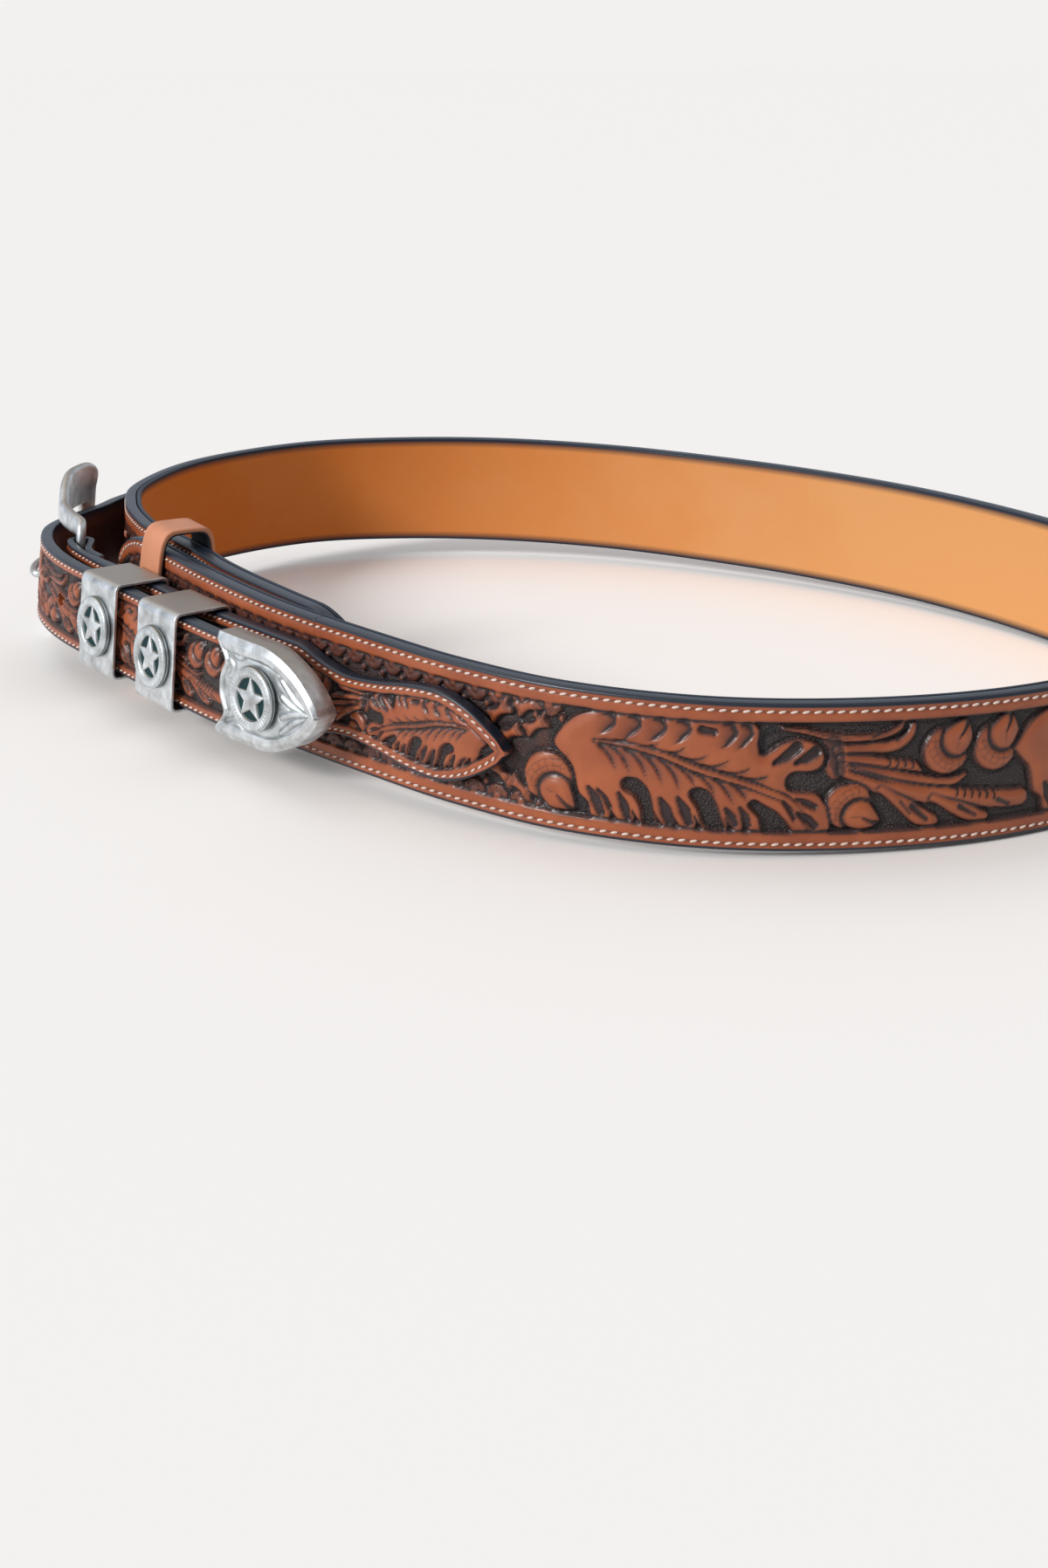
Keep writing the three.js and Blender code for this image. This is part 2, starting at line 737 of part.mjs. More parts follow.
// The belt rests on the buckle's lower corner and on the far end of its lower edge,
// so it tilts a little about a level line across restHeading.
const heading = new THREE.Vector3(Math.cos(radians(restHeading)), Math.sin(radians(restHeading)), 0);
const farthest = Math.max(...range(0, girth, 2).map((along) => planAt(along).point.dot(heading)));
const drop = Math.max(0, (frameHeight - bodyWidth) / 2);
const tilt = Math.atan2(drop, farthest - place(toeAt, frameOut(frameLength), 0).dot(heading));
const acrossHeading = new THREE.Vector3(-heading.y, heading.x, 0);
belt.quaternion.setFromAxisAngle(acrossHeading, tilt);

// The origin is under the middle of the whole belt
const root = new THREE.Group();
root.add(belt);
root.updateMatrixWorld(true);
const box = new THREE.Box3().setFromObject(root, true);
belt.position.set(-(box.min.x + box.max.x) / 2, -(box.min.y + box.max.y) / 2, -box.min.z);

export default root;
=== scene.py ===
# A western tooled belt, fastened and standing on its lower edge.
# Along is the distance round the loop, out is outwards from the body strap's face and up is the
# height on the strap, all in millimetres. place() turns them into metres in the shared frame.
import json
import math

import bmesh
import bpy
import numpy as np
from mathutils import Matrix, Vector


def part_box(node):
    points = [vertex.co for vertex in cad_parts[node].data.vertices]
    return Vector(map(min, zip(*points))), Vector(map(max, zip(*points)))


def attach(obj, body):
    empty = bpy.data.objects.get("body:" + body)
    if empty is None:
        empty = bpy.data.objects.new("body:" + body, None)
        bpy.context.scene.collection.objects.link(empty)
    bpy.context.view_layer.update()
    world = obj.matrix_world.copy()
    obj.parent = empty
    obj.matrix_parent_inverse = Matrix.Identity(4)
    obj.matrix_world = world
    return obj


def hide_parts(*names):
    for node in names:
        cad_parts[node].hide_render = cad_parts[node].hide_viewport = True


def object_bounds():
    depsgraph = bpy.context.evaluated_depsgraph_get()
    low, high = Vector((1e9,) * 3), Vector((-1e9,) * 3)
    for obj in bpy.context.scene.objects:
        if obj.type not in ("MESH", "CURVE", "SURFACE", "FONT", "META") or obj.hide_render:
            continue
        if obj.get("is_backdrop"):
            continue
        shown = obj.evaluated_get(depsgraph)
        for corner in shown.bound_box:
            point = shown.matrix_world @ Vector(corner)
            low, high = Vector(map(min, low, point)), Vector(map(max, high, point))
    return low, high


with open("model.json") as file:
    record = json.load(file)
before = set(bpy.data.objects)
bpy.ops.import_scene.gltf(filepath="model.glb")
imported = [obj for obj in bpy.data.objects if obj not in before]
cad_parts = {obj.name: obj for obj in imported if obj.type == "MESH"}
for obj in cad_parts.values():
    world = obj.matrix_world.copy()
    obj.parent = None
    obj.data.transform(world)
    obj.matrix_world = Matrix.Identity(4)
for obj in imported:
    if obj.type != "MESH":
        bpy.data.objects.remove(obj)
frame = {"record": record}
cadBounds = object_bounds()
mm = 0.001
print("frame loaded")

# The loop

body = {
    "length": 332.6,
    "depth": 313,
    "lean": 6,  # degrees that the leather leans in at the buckle
    "leanStart": 0.08,
    "leanReach": 0.33,
    "width": 38.1,
    "tooling": 3.4,
    "lining": 1.5,
    "overlap": 140,
    "endTaper": 24,
    "slack": 3.2,
    "border": 5,  # plain leather between the edge and the carving
    "stitchInset": 2,
    "patternDrop": -0.9,
    "fieldDepth": 1.25,
    "fineCell": 0.43,
    "coarseCell": 0.66,
}
seat = 0.3
middle = body["width"] / 2
bodyThickness = body["tooling"] + seat + body["lining"]
toeAt, barAt, bulgeAt, bulgeEndAt, loopAt = -53, -5, -12, 20, 36
keeperAt = [41.5, 78]
tipAt, seamAt, leafPointAt, farSeamAt, farLeafPointAt = 108, 112, 201, -90, -190

# The outer face seen from above, as shares of the loop's length and depth
loopPlan = [
    (-0.483, 0.055), (-0.4215, -0.065), (-0.319, -0.223), (-0.215, -0.3415), (-0.152, -0.404),
    (-0.0725, -0.461), (0.043, -0.497), (0.1775, -0.489), (0.297, -0.443), (0.4165, -0.342),
    (0.4865, -0.173), (0.4765, -0.021), (0.4205, 0.102), (0.3225, 0.239), (0.2165, 0.3365),
    (0.1095, 0.408), (-0.003, 0.465), (-0.122, 0.497), (-0.2345, 0.4955), (-0.346, 0.461),
    (-0.4525, 0.357), (-0.494, 0.2465), (-0.499, 0.154),
]


def smooth(share):
    share = np.clip(share, 0, 1)
    return share * share * (3 - 2 * share)


def curveThrough(points, steps, closed=False):
    points = np.array(points, float)
    if not closed:
        points = np.vstack([2 * points[0] - points[1], points, 2 * points[-1] - points[-2]])
    before, start, end, after = (np.roll(points, -n, axis=0) for n in (-1, 0, 1, 2))
    gap = lambda a, b: np.sqrt(np.linalg.norm(b - a, axis=1, keepdims=True)) + 1e-9
    first, span, last = gap(before, start), gap(start, end), gap(end, after)
    leave = ((start - before) / first - (end - before) / (first + span) + (end - start) / span) * span
    arrive = ((end - start) / span - (after - start) / (span + last) + (after - end) / last) * span
    t = np.linspace(0, 1, steps, endpoint=False)[None, :, None]
    start, end, leave, arrive = (v[:, None] for v in (start, end, leave, arrive))
    rise = 3 * (end - start) - 2 * leave - arrive
    line = start + leave * t + rise * t**2 + (2 * (start - end) + leave + arrive) * t**3
    if closed:
        line = line.reshape(-1, points.shape[1])
        return np.vstack([line, line[:1]])
    return np.vstack([line[1:-2].reshape(-1, points.shape[1]), points[-2:-1]])


loopLine = curveThrough(np.array(loopPlan) * [body["length"], body["depth"]], 200, closed=True)
loopRun = np.r_[0, np.cumsum(np.linalg.norm(np.diff(loopLine, axis=0), axis=1))]
girth = loopRun[-1]
heading = np.roll(loopLine[:-1], -1, axis=0) - np.roll(loopLine[:-1], 1, axis=0)
heading = heading / np.linalg.norm(heading, axis=1, keepdims=True)
heading = np.vstack([heading, heading[:1]])
loopColumns = [loopLine[:, 0], loopLine[:, 1], heading[:, 1], -heading[:, 0]]


def leanAt(x):
    toLeft = (-x / body["length"] - body["leanStart"]) / body["leanReach"]
    return math.tan(math.radians(body["lean"])) * smooth(toLeft)


def loopSpot(along):
    return [np.interp(np.mod(along, girth), loopRun, column) for column in loopColumns]


def onLoop(along, out, up):
    along, out, up = np.broadcast_arrays(*(np.asarray(v, float) for v in (along, out, up)))
    x, y, outX, outY = loopSpot(along)
    reach = out + (body["width"] - up) * leanAt(x)
    return np.stack([x + outX * reach, y + outY * reach, up], axis=-1)


def through(rows, value):
    at, level = np.array(rows, float).T
    slope = np.diff(level) / np.diff(at)
    soft = np.where(slope[:-1] * slope[1:] > 0, (slope[:-1] + slope[1:]) / 2, 0)
    start, end = np.r_[0, soft], np.r_[soft, 0]
    value = np.clip(value, at[0], at[-1])
    i = np.clip(np.searchsorted(at, value, side="right") - 1, 0, len(at) - 2)
    width = at[i + 1] - at[i]
    t = (value - at[i]) / width
    rise = level[i] * (1 + 2 * t) * (1 - t) ** 2 + level[i + 1] * t * t * (3 - 2 * t)
    return rise + width * t * (1 - t) * (start[i] * (1 - t) - end[i] * t)


overlapSink = [(toeAt + 3, 0), (toeAt + 26, 0.42), (0, 1), (body["overlap"], 1)]
overlapSlack = [
    (toeAt + 26, 0), (0, 0.1), (loopAt, 1), (loopAt + 26, 0.6), (keeperAt[1] + 22, 0.5),
    (body["overlap"], 0),
]
bodyEnd = [(0, 0.3), (0.06, 0.45), (0.2, 0.64), (0.45, 0.83), (0.75, 0.96), (1, 1)]


def bodyFace(along):
    past = along - girth
    apart = bodyThickness + seat + body["slack"] * through(overlapSlack, past)
    return np.where(along < girth / 2, 0, -through(overlapSink, past) * apart)


def bodyHalf(along):
    fromEnd = np.minimum(along, girth + body["overlap"] - along)
    return middle * through(bodyEnd, fromEnd / body["endTaper"])


# The belt leans on the buckle's lower corner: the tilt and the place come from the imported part
lowerEdge = frame["record"]["mounts"][0]
upward = -Vector(lowerEdge["axis"]).normalized()
tilt = np.array(Vector((0, 0, 1)).rotation_difference(upward).to_matrix())
trial = np.linspace(0, girth + body["overlap"], 4000)
corners = [
    onLoop(trial, bodyFace(trial) - depth, middle + side * bodyHalf(trial)) @ tilt.T
    for depth in (0, body["tooling"])
    for side in (-1, 1)
]
shift = np.array(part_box("body_strap")[0]) / mm - np.vstack(corners).min(axis=0)


def stand(points):
    return (points @ tilt.T + shift) * mm


def place(along, out, up):
    return stand(onLoop(along, out, up))


def flatPlace(station, turned):
    x, y, outX, outY = loopSpot(station)
    c, s = math.cos(turned), math.sin(turned)
    run = (-outY * c - outX * s, outX * c - outY * s)
    face = (outX * c - outY * s, outX * s + outY * c)
    lean = leanAt(x)

    def spot(along, out, up):
        along, out, up = np.broadcast_arrays(*(np.asarray(v, float) for v in (along, out, up)))
        reach = out + (body["width"] - up) * lean
        flat = [p + r * along + f * reach for p, r, f in zip((x, y), run, face)]
        return stand(np.stack([*flat, up], axis=-1))

    return spot


# Materials: one class wraps a socket, so that shader maths reads as sums


def feed(sockets, values):
    for key, value in values.items():
        if isinstance(value, Wire):
            Wire.tree.links.new(value.socket, sockets[key])
        else:
            sockets[key].default_value = value


class Wire:
    tree = None

    def __init__(self, socket):
        self.socket = socket

    @classmethod
    def node(cls, kind, settings, inputs, output=0):
        made = cls.tree.nodes.new(kind)
        for key, value in settings.items():
            setattr(made, key, value)
        feed(made.inputs, inputs)
        return cls(made.outputs[output])

    def sum(self, operation, *others, clamp=False):
        inputs = dict(enumerate((self, *others)))
        return Wire.node("ShaderNodeMath", {"operation": operation, "use_clamp": clamp}, inputs)

    def __add__(self, other):
        return self.sum("ADD", other)

    def __mul__(self, other):
        return self.sum("MULTIPLY", other)

    def __sub__(self, other):
        return self.sum("SUBTRACT", other)

    def __rsub__(self, other):
        return (self * -1) + other

    __radd__ = __add__
    __rmul__ = __mul__

    def clamp(self):
        return self.sum("ADD", 0, clamp=True)


def blend(mask, below, above):
    below, above = ((*c, 1) if isinstance(c, tuple) else c for c in (below, above))
    settings = {"data_type": "RGBA", "clamp_factor": True}
    return Wire.node("ShaderNodeMix", settings, {0: mask, 6: below, 7: above}, 2)


def mark(name):
    return Wire.node("ShaderNodeAttribute", {"attribute_name": name}, {}, 2)


def noise(where, scale, detail=3, rough=0.55):
    inputs = {"Vector": where, "Scale": scale, "Detail": detail, "Roughness": rough}
    return Wire.node("ShaderNodeTexNoise", {}, inputs)


def cells(where, scale):
    return Wire.node("ShaderNodeTexVoronoi", {}, {"Vector": where, "Scale": scale})


def material(name, paint):
    made = bpy.data.materials.new(name)
    made.use_nodes = True
    Wire.tree = made.node_tree
    shader = made.node_tree.nodes["Principled BSDF"]
    where = Wire.node("ShaderNodeTexCoord", {}, {}, 3)
    look = paint(where)
    height = look.pop("height", None)
    if height is not None:
        bump = {"Height": height, "Strength": 1, "Distance": mm}
        look["Normal"] = Wire.node("ShaderNodeBump", {}, bump)
    feed(shader.inputs, look)
    return made


tooledLook = {
    "light": (0.4, 0.102, 0.029),
    "deep": (0.235, 0.048, 0.013),
    "antique_and_shade": (0.021, 0.0078, 0.0088),
    "ground": (0.0075, 0.0062, 0.008),
    "pebble_glint": (0.19, 0.18, 0.2),
    "edge": (0.006, 0.011, 0.023),
}


def tooledPaint(where):
    dark, matted, edge = mark("dark"), mark("matted"), mark("edge")
    clouds = noise(where, 70, 4)
    grain = noise(where, 1500, 2)
    pebble = cells(where, 1700)
    colour = blend(clouds * 1.6 - 0.35, tooledLook["deep"], tooledLook["light"])
    # The dark mark blends to near black: antique dye in the hollows and painted shade on steep walls and
    # round raised forms
    colour = blend((dark * (grain * 0.6 + 0.78)).clamp(), colour, tooledLook["antique_and_shade"])
    # painted highlight: the tops of the matted ground's pebbles are lightened to a bluish grey, as glints
    ground = blend((0.66 - pebble * 2.4).clamp(), tooledLook["ground"], tooledLook["pebble_glint"])
    colour = blend((matted * 0.97).clamp(), colour, ground)
    colour = blend(edge, colour, tooledLook["edge"])
    rough = (0.36 + grain * 0.18 + dark * 0.14 + matted * 0.12).clamp()
    height = grain * 0.03 + clouds * 0.1 - pebble * matted * 0.55
    look = {"Base Color": colour, "Roughness": rough, "height": height}
    return {**look, "Specular IOR Level": 0.4, "Coat Weight": 0.3, "Coat Roughness": 0.24}


liningLook = {
    "lit_gold": (0.6, 0.28, 0.098),
    "shaded_brown": (0.55, 0.134, 0.004),
    "edge": (0.01, 0.016, 0.03),
}


def liningPaint(where):
    edge = mark("edge")
    clouds = noise(where, 22, 5, 0.6)
    grain = noise(where, 1300, 3)
    side = Wire.node("ShaderNodeSeparateXYZ", {}, {"Vector": where})
    # painted light and shade: the lining runs from darker brown on the left to lit gold on the right, with
    # cloudy mottling between
    colour = blend(side * 4.2 + 0.25 + clouds * 0.7, liningLook["shaded_brown"], liningLook["lit_gold"])
    colour = blend(edge, colour, liningLook["edge"])
    rough = (0.4 + clouds * 0.24 - edge * 0.1).clamp()
    height = grain * 0.03 + clouds * 0.3
    return {"Base Color": colour, "Roughness": rough, "Specular IOR Level": 0.24, "height": height}


loopLook = {"light": (0.62, 0.27, 0.145), "deep": (0.47, 0.17, 0.082), "inside": (0.01, 0.012, 0.02)}


def loopPaint(where):
    inside = mark("dark")
    grain = noise(where, 900, 4)
    clouds = noise(where, 120, 3)
    colour = blend(clouds, loopLook["deep"], loopLook["light"])
    colour = blend(inside, colour, loopLook["inside"])
    return {"Base Color": colour, "Roughness": 0.6, "height": grain * 0.09}


silverLook = {
    "light": (0.84, 0.88, 0.9),
    "dull": (0.4, 0.41, 0.41),
    "upper": (0.4, 0.345, 0.29),
    "dark": (0.014, 0.045, 0.05),
}


def silverPaint(where):
    dark = mark("dark")
    clouds = noise(where, 190, 5, 0.6)
    scratch = noise(where, 2600, 2)
    facing = Wire.node("ShaderNodeTexCoord", {}, {}, 1)
    upward = Wire.node("ShaderNodeSeparateXYZ", {}, {"Vector": facing}, 2)
    colour = blend(clouds * 2.6 - 0.72, silverLook["dull"], silverLook["light"])
    # painted reflection: faces turned upwards are tinted warm taupe, like the dim warm surround they face
    colour = blend(upward * 2.2 - 1.2, colour, silverLook["upper"])
    colour = blend(dark, colour, silverLook["dark"])
    rough = (0.3 + clouds * 0.2 + dark * 0.3).clamp()
    height = scratch * 0.012 + clouds * 0.035
    return {"Base Color": colour, "Metallic": 1 - dark * 0.3, "Roughness": rough, "height": height}


threadLook = {"light": (0.82, 0.68, 0.6), "deep": (0.46, 0.31, 0.26)}


def threadPaint(where):
    twist = noise(where, 2400, 2)
    colour = blend(twist, threadLook["deep"], threadLook["light"])
    return {"Base Color": colour, "Roughness": 0.7, "height": twist * 0.08}


tooledLeather = material("tooled_leather", tooledPaint)
liningLeather = material("lining_leather", liningPaint)
loopLeather = material("loop_leather", loopPaint)
silver = material("engraved_silver", silverPaint)
thread = material("linen_thread", threadPaint)
print("materials ready")

# Meshes


def addObject(name, data):
    made = bpy.data.objects.new(name, data)
    bpy.context.scene.collection.objects.link(made)
    return made


def finishPiece(name, mesh, look, nodes=()):
    mesh.materials.append(look)
    piece = addObject(name, mesh)
    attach(piece, "root")
    if nodes:
        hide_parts(*nodes)
    return piece


def smoothInto(mesh, sheet):
    bmesh.ops.recalc_face_normals(sheet, faces=sheet.faces)
    for face in sheet.faces:
        face.smooth = True
    sheet.to_mesh(mesh)
    sheet.free()
    return mesh


def gridMesh(name, points, marks, ring=False):
    # A grid bent to points[row, column]. Its columns close by themselves, and so do a ring's rows
    rows, columns = points.shape[:2]
    sheet = bmesh.new()
    bmesh.ops.create_grid(sheet, x_segments=columns - 1, y_segments=rows - 1, size=1)
    mesh = bpy.data.meshes.new(name)
    sheet.to_mesh(mesh)
    flat = np.empty(rows * columns * 3)
    mesh.vertices.foreach_get("co", flat)
    flat = (flat.reshape(-1, 3) + 1) / 2
    column = np.rint(flat[:, 0] * (columns - 1)).astype(int)
    row = np.rint(flat[:, 1] * (rows - 1)).astype(int)
    mesh.vertices.foreach_set("co", points[row, column].ravel())
    for title, values in marks.items():
        layer = mesh.attributes.new(title, "FLOAT", "POINT")
        layer.data.foreach_set("value", np.broadcast_to(values, (rows, columns))[row, column])
    sheet.clear()
    sheet.from_mesh(mesh)
    bmesh.ops.remove_doubles(sheet, verts=sheet.verts, dist=1e-7)
    if not ring:
        rim = [edge for edge in sheet.edges if edge.is_boundary]
        bmesh.ops.holes_fill(sheet, edges=rim, sides=0)
    return smoothInto(mesh, sheet)


def loopOfSection(half, thickness, cell, outerRound, innerRound):
    # Sides and depths of the corners round a strap's section, and how many are on the tooled face
    faceUp = half - outerRound
    face = np.linspace(-faceUp, faceUp, max(2, round(2 * faceUp / cell)) + 1)
    arc = np.linspace(0, math.pi / 2, 5)[1:]
    top = [(faceUp + outerRound * np.sin(a), thickness - outerRound * (1 - np.cos(a))) for a in arc]
    backUp = half - innerRound
    back = [(backUp + innerRound * np.cos(a), innerRound * (1 - np.sin(a))) for a in np.r_[0, arc]]
    around = [(y, thickness) for y in face] + top + back
    around += [(y, 0) for y in np.linspace(backUp, -backUp, 5)[1:-1]]
    around += [(-y, z) for y, z in back[::-1]] + [(-y, z) for y, z in top[::-1]]
    around.append(around[0])
    side, depth = np.array(around).T
    return side, depth, len(face)


def levels(values, times):
    for _ in range(times):
        padded = np.pad(values, 1, mode="edge")
        beside = padded[:-2, 1:-1] + padded[2:, 1:-1] + padded[1:-1, :-2] + padded[1:-1, 2:]
        values = (beside + values) / 5
    return values


# Carving: a sheet of leather with heights in millimetres, drawn on in strap coordinates


def fromParts(x, y, line):
    # For each part of a line: the way from its start, its own run, the nearest share of it, the gap
    start, run = line[:-1], np.diff(line, axis=0)
    dx, dy = x[..., None] - start[:, 0], y[..., None] - start[:, 1]
    t = np.clip((dx * run[:, 0] + dy * run[:, 1]) / ((run**2).sum(axis=1) + 1e-12), 0, 1)
    return dx, dy, run, t, np.hypot(dx - t * run[:, 0], dy - t * run[:, 1])


def lineField(x, y, line, halfWidth):
    # How far inside a line each point is, its distance to the left of it, and its share of the way
    dx, dy, run, t, gap = fromParts(x, y, line)
    k = gap.argmin(axis=-1)[..., None]
    pick = lambda values: np.take_along_axis(values, k, axis=-1)[..., 0]
    share = (k[..., 0] + pick(t)) / len(run)
    side = np.sign(pick(run[:, 0] * dy - run[:, 1] * dx))
    gap = pick(gap)
    width = np.interp(share, np.linspace(0, 1, len(halfWidth)), halfWidth)
    return width - gap, side * gap, share


def blobField(x, y, outline):
    # How far inside a closed outline each point is
    dx, dy, run, _, gap = fromParts(x, y, outline)
    gap = gap.min(axis=-1)
    crosses = (dy < 0) != (dy - run[:, 1] < 0)
    with np.errstate(divide="ignore", invalid="ignore"):
        right = dx < run[:, 0] * dy / run[:, 1]
    inside = (crosses & right).sum(axis=-1) % 2 == 1
    return np.where(inside, gap, -gap)


class Tooling:
    def __init__(self, along, up, depth):
        self.along, self.up = np.broadcast_arrays(along, up)
        self.rowAt = self.along.mean(axis=1)
        self.depth = float(depth)
        self.height = np.full(up.shape, -self.depth)
        self.matted = np.ones(up.shape)
        # darkening layer: antique dye in cuts and stamps, and painted shade at the foot of raised forms and
        # on the sunk side of veins
        self.darkening = np.zeros(up.shape)
        self.moveTo(0, 0)

    def moveTo(self, x, y, scale=1, flip=1):
        self.origin, self.scale, self.flip = np.array([x, y], float), scale, flip

    def spots(self, points):
        return self.origin + np.array(points, float) * [self.scale * self.flip, self.scale]

    def window(self, points, margin):
        span = [points[:, 0].min() - margin, points[:, 0].max() + margin]
        rows = slice(*np.searchsorted(self.rowAt, span))
        return rows, self.along[rows], self.up[rows]

    def lift(self, rows, field, top, edge=0.5, moat=0.4, reach=0.9, halo=0.6):
        # Raises a form, presses a moat round its foot and darkens there: antique dye in the moat with
        # painted shade round the foot
        inside = smooth(field / edge + 0.5)
        foot = np.exp(-((np.minimum(field, 0) / reach) ** 2))
        self.height[rows] = (self.height[rows] - moat * foot) * (1 - inside) + top * inside
        self.matted[rows] *= 1 - inside
        self.darkening[rows] = np.maximum(self.darkening[rows], halo * foot) * (1 - inside)

    def press(self, rows, field, depth, edge=0.5, darkening=0.0):
        inside = smooth(field / edge + 0.5)
        self.height[rows] -= depth * inside
        self.darkening[rows] = np.maximum(self.darkening[rows], darkening * inside)

    def blob(self, points, top=0.0, dome=0.25, moat=0.45, reach=0.9, roll=2.4, halo=0.6):
        outline = curveThrough(self.spots(points), 5, closed=True)
        rows, x, y = self.window(outline, 3)
        if x.size:
            field = blobField(x, y, outline)
            roll = roll * self.scale
            reach = reach * max(self.scale, 0.7)
            self.lift(rows, field, top + dome * (smooth(field / roll) - 1), 0.45, moat, reach, halo)

    def stroke(self, points, widths, top=0.0, dome=0.25, moat=0.4, halo=0.7):
        line = curveThrough(self.spots(points), 5)
        widths = np.array(widths, float) * self.scale
        rows, x, y = self.window(line, widths.max() + 2)
        if x.size:
            field = lineField(x, y, line, widths)[0]
            top = top + dome * (smooth(field / widths.max()) - 1)
            self.lift(rows, field, top, 0.4, moat, 0.55, halo)

    def pit(self, points):
        # Opens a raised form down to the matted ground
        outline = curveThrough(self.spots(points), 4, closed=True)
        rows, x, y = self.window(outline, 1)
        if x.size:
            inside = smooth(blobField(x, y, outline) / 0.45 + 0.5)
            self.height[rows] = self.height[rows] * (1 - inside) - self.depth * inside
            self.matted[rows] = np.maximum(self.matted[rows], inside)
            self.darkening[rows] *= 1 - inside

    def cut(self, points, widths, depth=0.5, darkening=0.9):
        line = curveThrough(self.spots(points), 5)
        widths = np.array(widths, float) * self.scale
        rows, x, y = self.window(line, widths.max() + 1)
        if x.size:
            self.press(rows, lineField(x, y, line, widths)[0], depth, 0.6, darkening)

    def vein(self, points, slope=0.55, lean=1, pitch=0.95, wash=1.9, beads=1.0, darkening=0.8):
        line = curveThrough(self.spots(points), 6)
        rows, x, y = self.window(line, 3 * wash * self.scale)
        if not x.size:
            return
        _, side, share = lineField(x, y, line, [1, 1])
        length = np.linalg.norm(np.diff(line, axis=0), axis=1).sum()
        fade = smooth(share / 0.06) * smooth((1 - share) / 0.45)
        side = side * lean * self.flip / self.scale
        # The broad darkening on the sunk side of the line is antique dye with painted shade; the beads are
        # dark dye dots
        tint = np.where(side > 0, np.exp(-side / (wash * 0.7)), np.exp(side / 0.18))
        wash = np.where(side > 0, np.exp(-side / wash), np.exp(side / 0.2))
        ends = (share > 0.001) & (share < 0.999)
        self.height[rows] -= slope * wash * fade * ends * min(1, self.scale * 1.3)
        self.darkening[rows] = np.maximum(self.darkening[rows], darkening * tint * fade * ends)
        bead = 0.5 + 0.5 * np.cos(share * length / (pitch * max(self.scale, 0.75)) * 2 * np.pi)
        dot = np.exp(-((side * self.scale / 0.3) ** 2)) * bead * ends * smooth((1 - share) / 0.2)
        self.height[rows] -= 0.16 * dot * beads
        self.darkening[rows] = np.maximum(self.darkening[rows], 0.9 * dot * beads)

    def arcCut(self, centre, radius, towards, spread, width=0.22, depth=0.25, darkening=0.8):
        centre = self.spots([centre])[0]
        radius = radius * self.scale
        rows, x, y = self.window(centre[None], radius + 1)
        if x.size:
            dx, dy = (x - centre[0]) * self.flip, y - centre[1]
            turn = np.degrees(np.arctan2(dy, dx)) - towards
            away = np.abs((turn + 180) % 360 - 180)
            field = width - np.abs(np.hypot(dx, dy) - radius) - np.maximum(away - spread, 0) * 0.05
            self.press(rows, field, depth, 0.3, darkening)


# Oak leaf, acorn and stems in millimetres, from the start of one repeat and the lower edge
leafOutline = [
    (7.1, 24.2), (9.2, 28.3), (12.1, 31.3), (15, 33), (20, 34.8), (30, 35.2), (45, 35.2), (56, 34.8),
    (58.6, 32.5), (58.8, 29), (60, 26), (62, 27.2), (64.5, 29), (68, 30), (72, 29.2), (74.4, 27),
    (74.9, 24.6), (73.8, 22.5), (71.3, 21.5), (67.1, 21.3), (65.7, 19.6), (66.2, 17.2), (68.5, 16.4),
    (73, 16.2), (75.2, 14), (76.5, 10), (77, 6), (60, 5.2), (40, 5.2), (22, 5.4), (17.6, 6),
    (16.6, 9.6), (13.8, 11.9), (12.8, 15), (11.5, 19), (9, 21.4),
]
leafHoles = [  # outlines of the openings through which the ground shows
    [(25.4, 16.3), (26.7, 17.7), (29.6, 17.5), (32.1, 15), (33.3, 10.8), (33.9, 6), (31.3, 6), (30.4, 10.4),
     (28.6, 13.3), (26, 14.6)],
    [(42.3, 15.4), (43.8, 16.7), (46.7, 16.2), (48.8, 13.3), (50, 10), (51.3, 6), (47.5, 6), (45.8, 7.9),
     (44.6, 11.3), (42.9, 13.8)],
    [(56.7, 13.1), (58, 14.3), (60.8, 12.9), (64.2, 10.8), (67.5, 6), (60.6, 6), (59.4, 10)],
    [(65.9, 19.4), (67.2, 20.9), (70.8, 20.8), (74.2, 19.2), (75.8, 17.5), (73.3, 16.4), (68.3, 16.8)],
]
leafPears = [  # from x, y, to x, y, half width
    (16.9, 13.8, 20.2, 7.8, 1.4), (19.2, 13.8, 22.6, 9.4, 0.7), (24.8, 13.4, 27.2, 7.2, 1.1),
    (35.3, 13.2, 37.6, 7.4, 1.4), (39.6, 13.8, 42.6, 7.6, 1.3), (51.4, 11.8, 53.8, 7.6, 1.0),
    (54.8, 12.2, 57, 7.8, 0.9), (68.4, 14.6, 73, 12.6, 0.9), (69, 11, 73.4, 7.6, 1.1),
    (65, 14.2, 68.2, 9.4, 0.5),
]
leafNotches = [23.2, 29, 34.6, 39, 44.6, 52.4, 56.2]  # where the lower lobes part, along the leaf
leafLobes = [  # the two deep dents of the upper right lobe, as points
    [(62.7, 24), (65.6, 25.8), (67.9, 27.9)], [(67.9, 24), (70.4, 25.2), (72.5, 26.8)],
]
leafFolds = [  # between the upper lobes: from the top edge down to the left
    [(22.6, 34.4), (23.4, 31.6), (21.4, 29.2), (17.5, 27.5)],
    [(28.6, 34.6), (29.8, 31.4), (27.6, 28.9), (23.3, 27.1)],
    [(34.8, 34.6), (36.1, 31.2), (33.6, 28.5), (29.8, 27)],
    [(40.2, 34.8), (42.1, 31.5), (40.2, 28.9), (36.6, 26.6)],
    [(51.6, 34.8), (53.3, 31.1), (51.4, 28.4), (48.2, 26.6)],
    [(55.8, 34.6), (57.1, 31), (55.1, 28.4), (52.2, 26.2)],
]
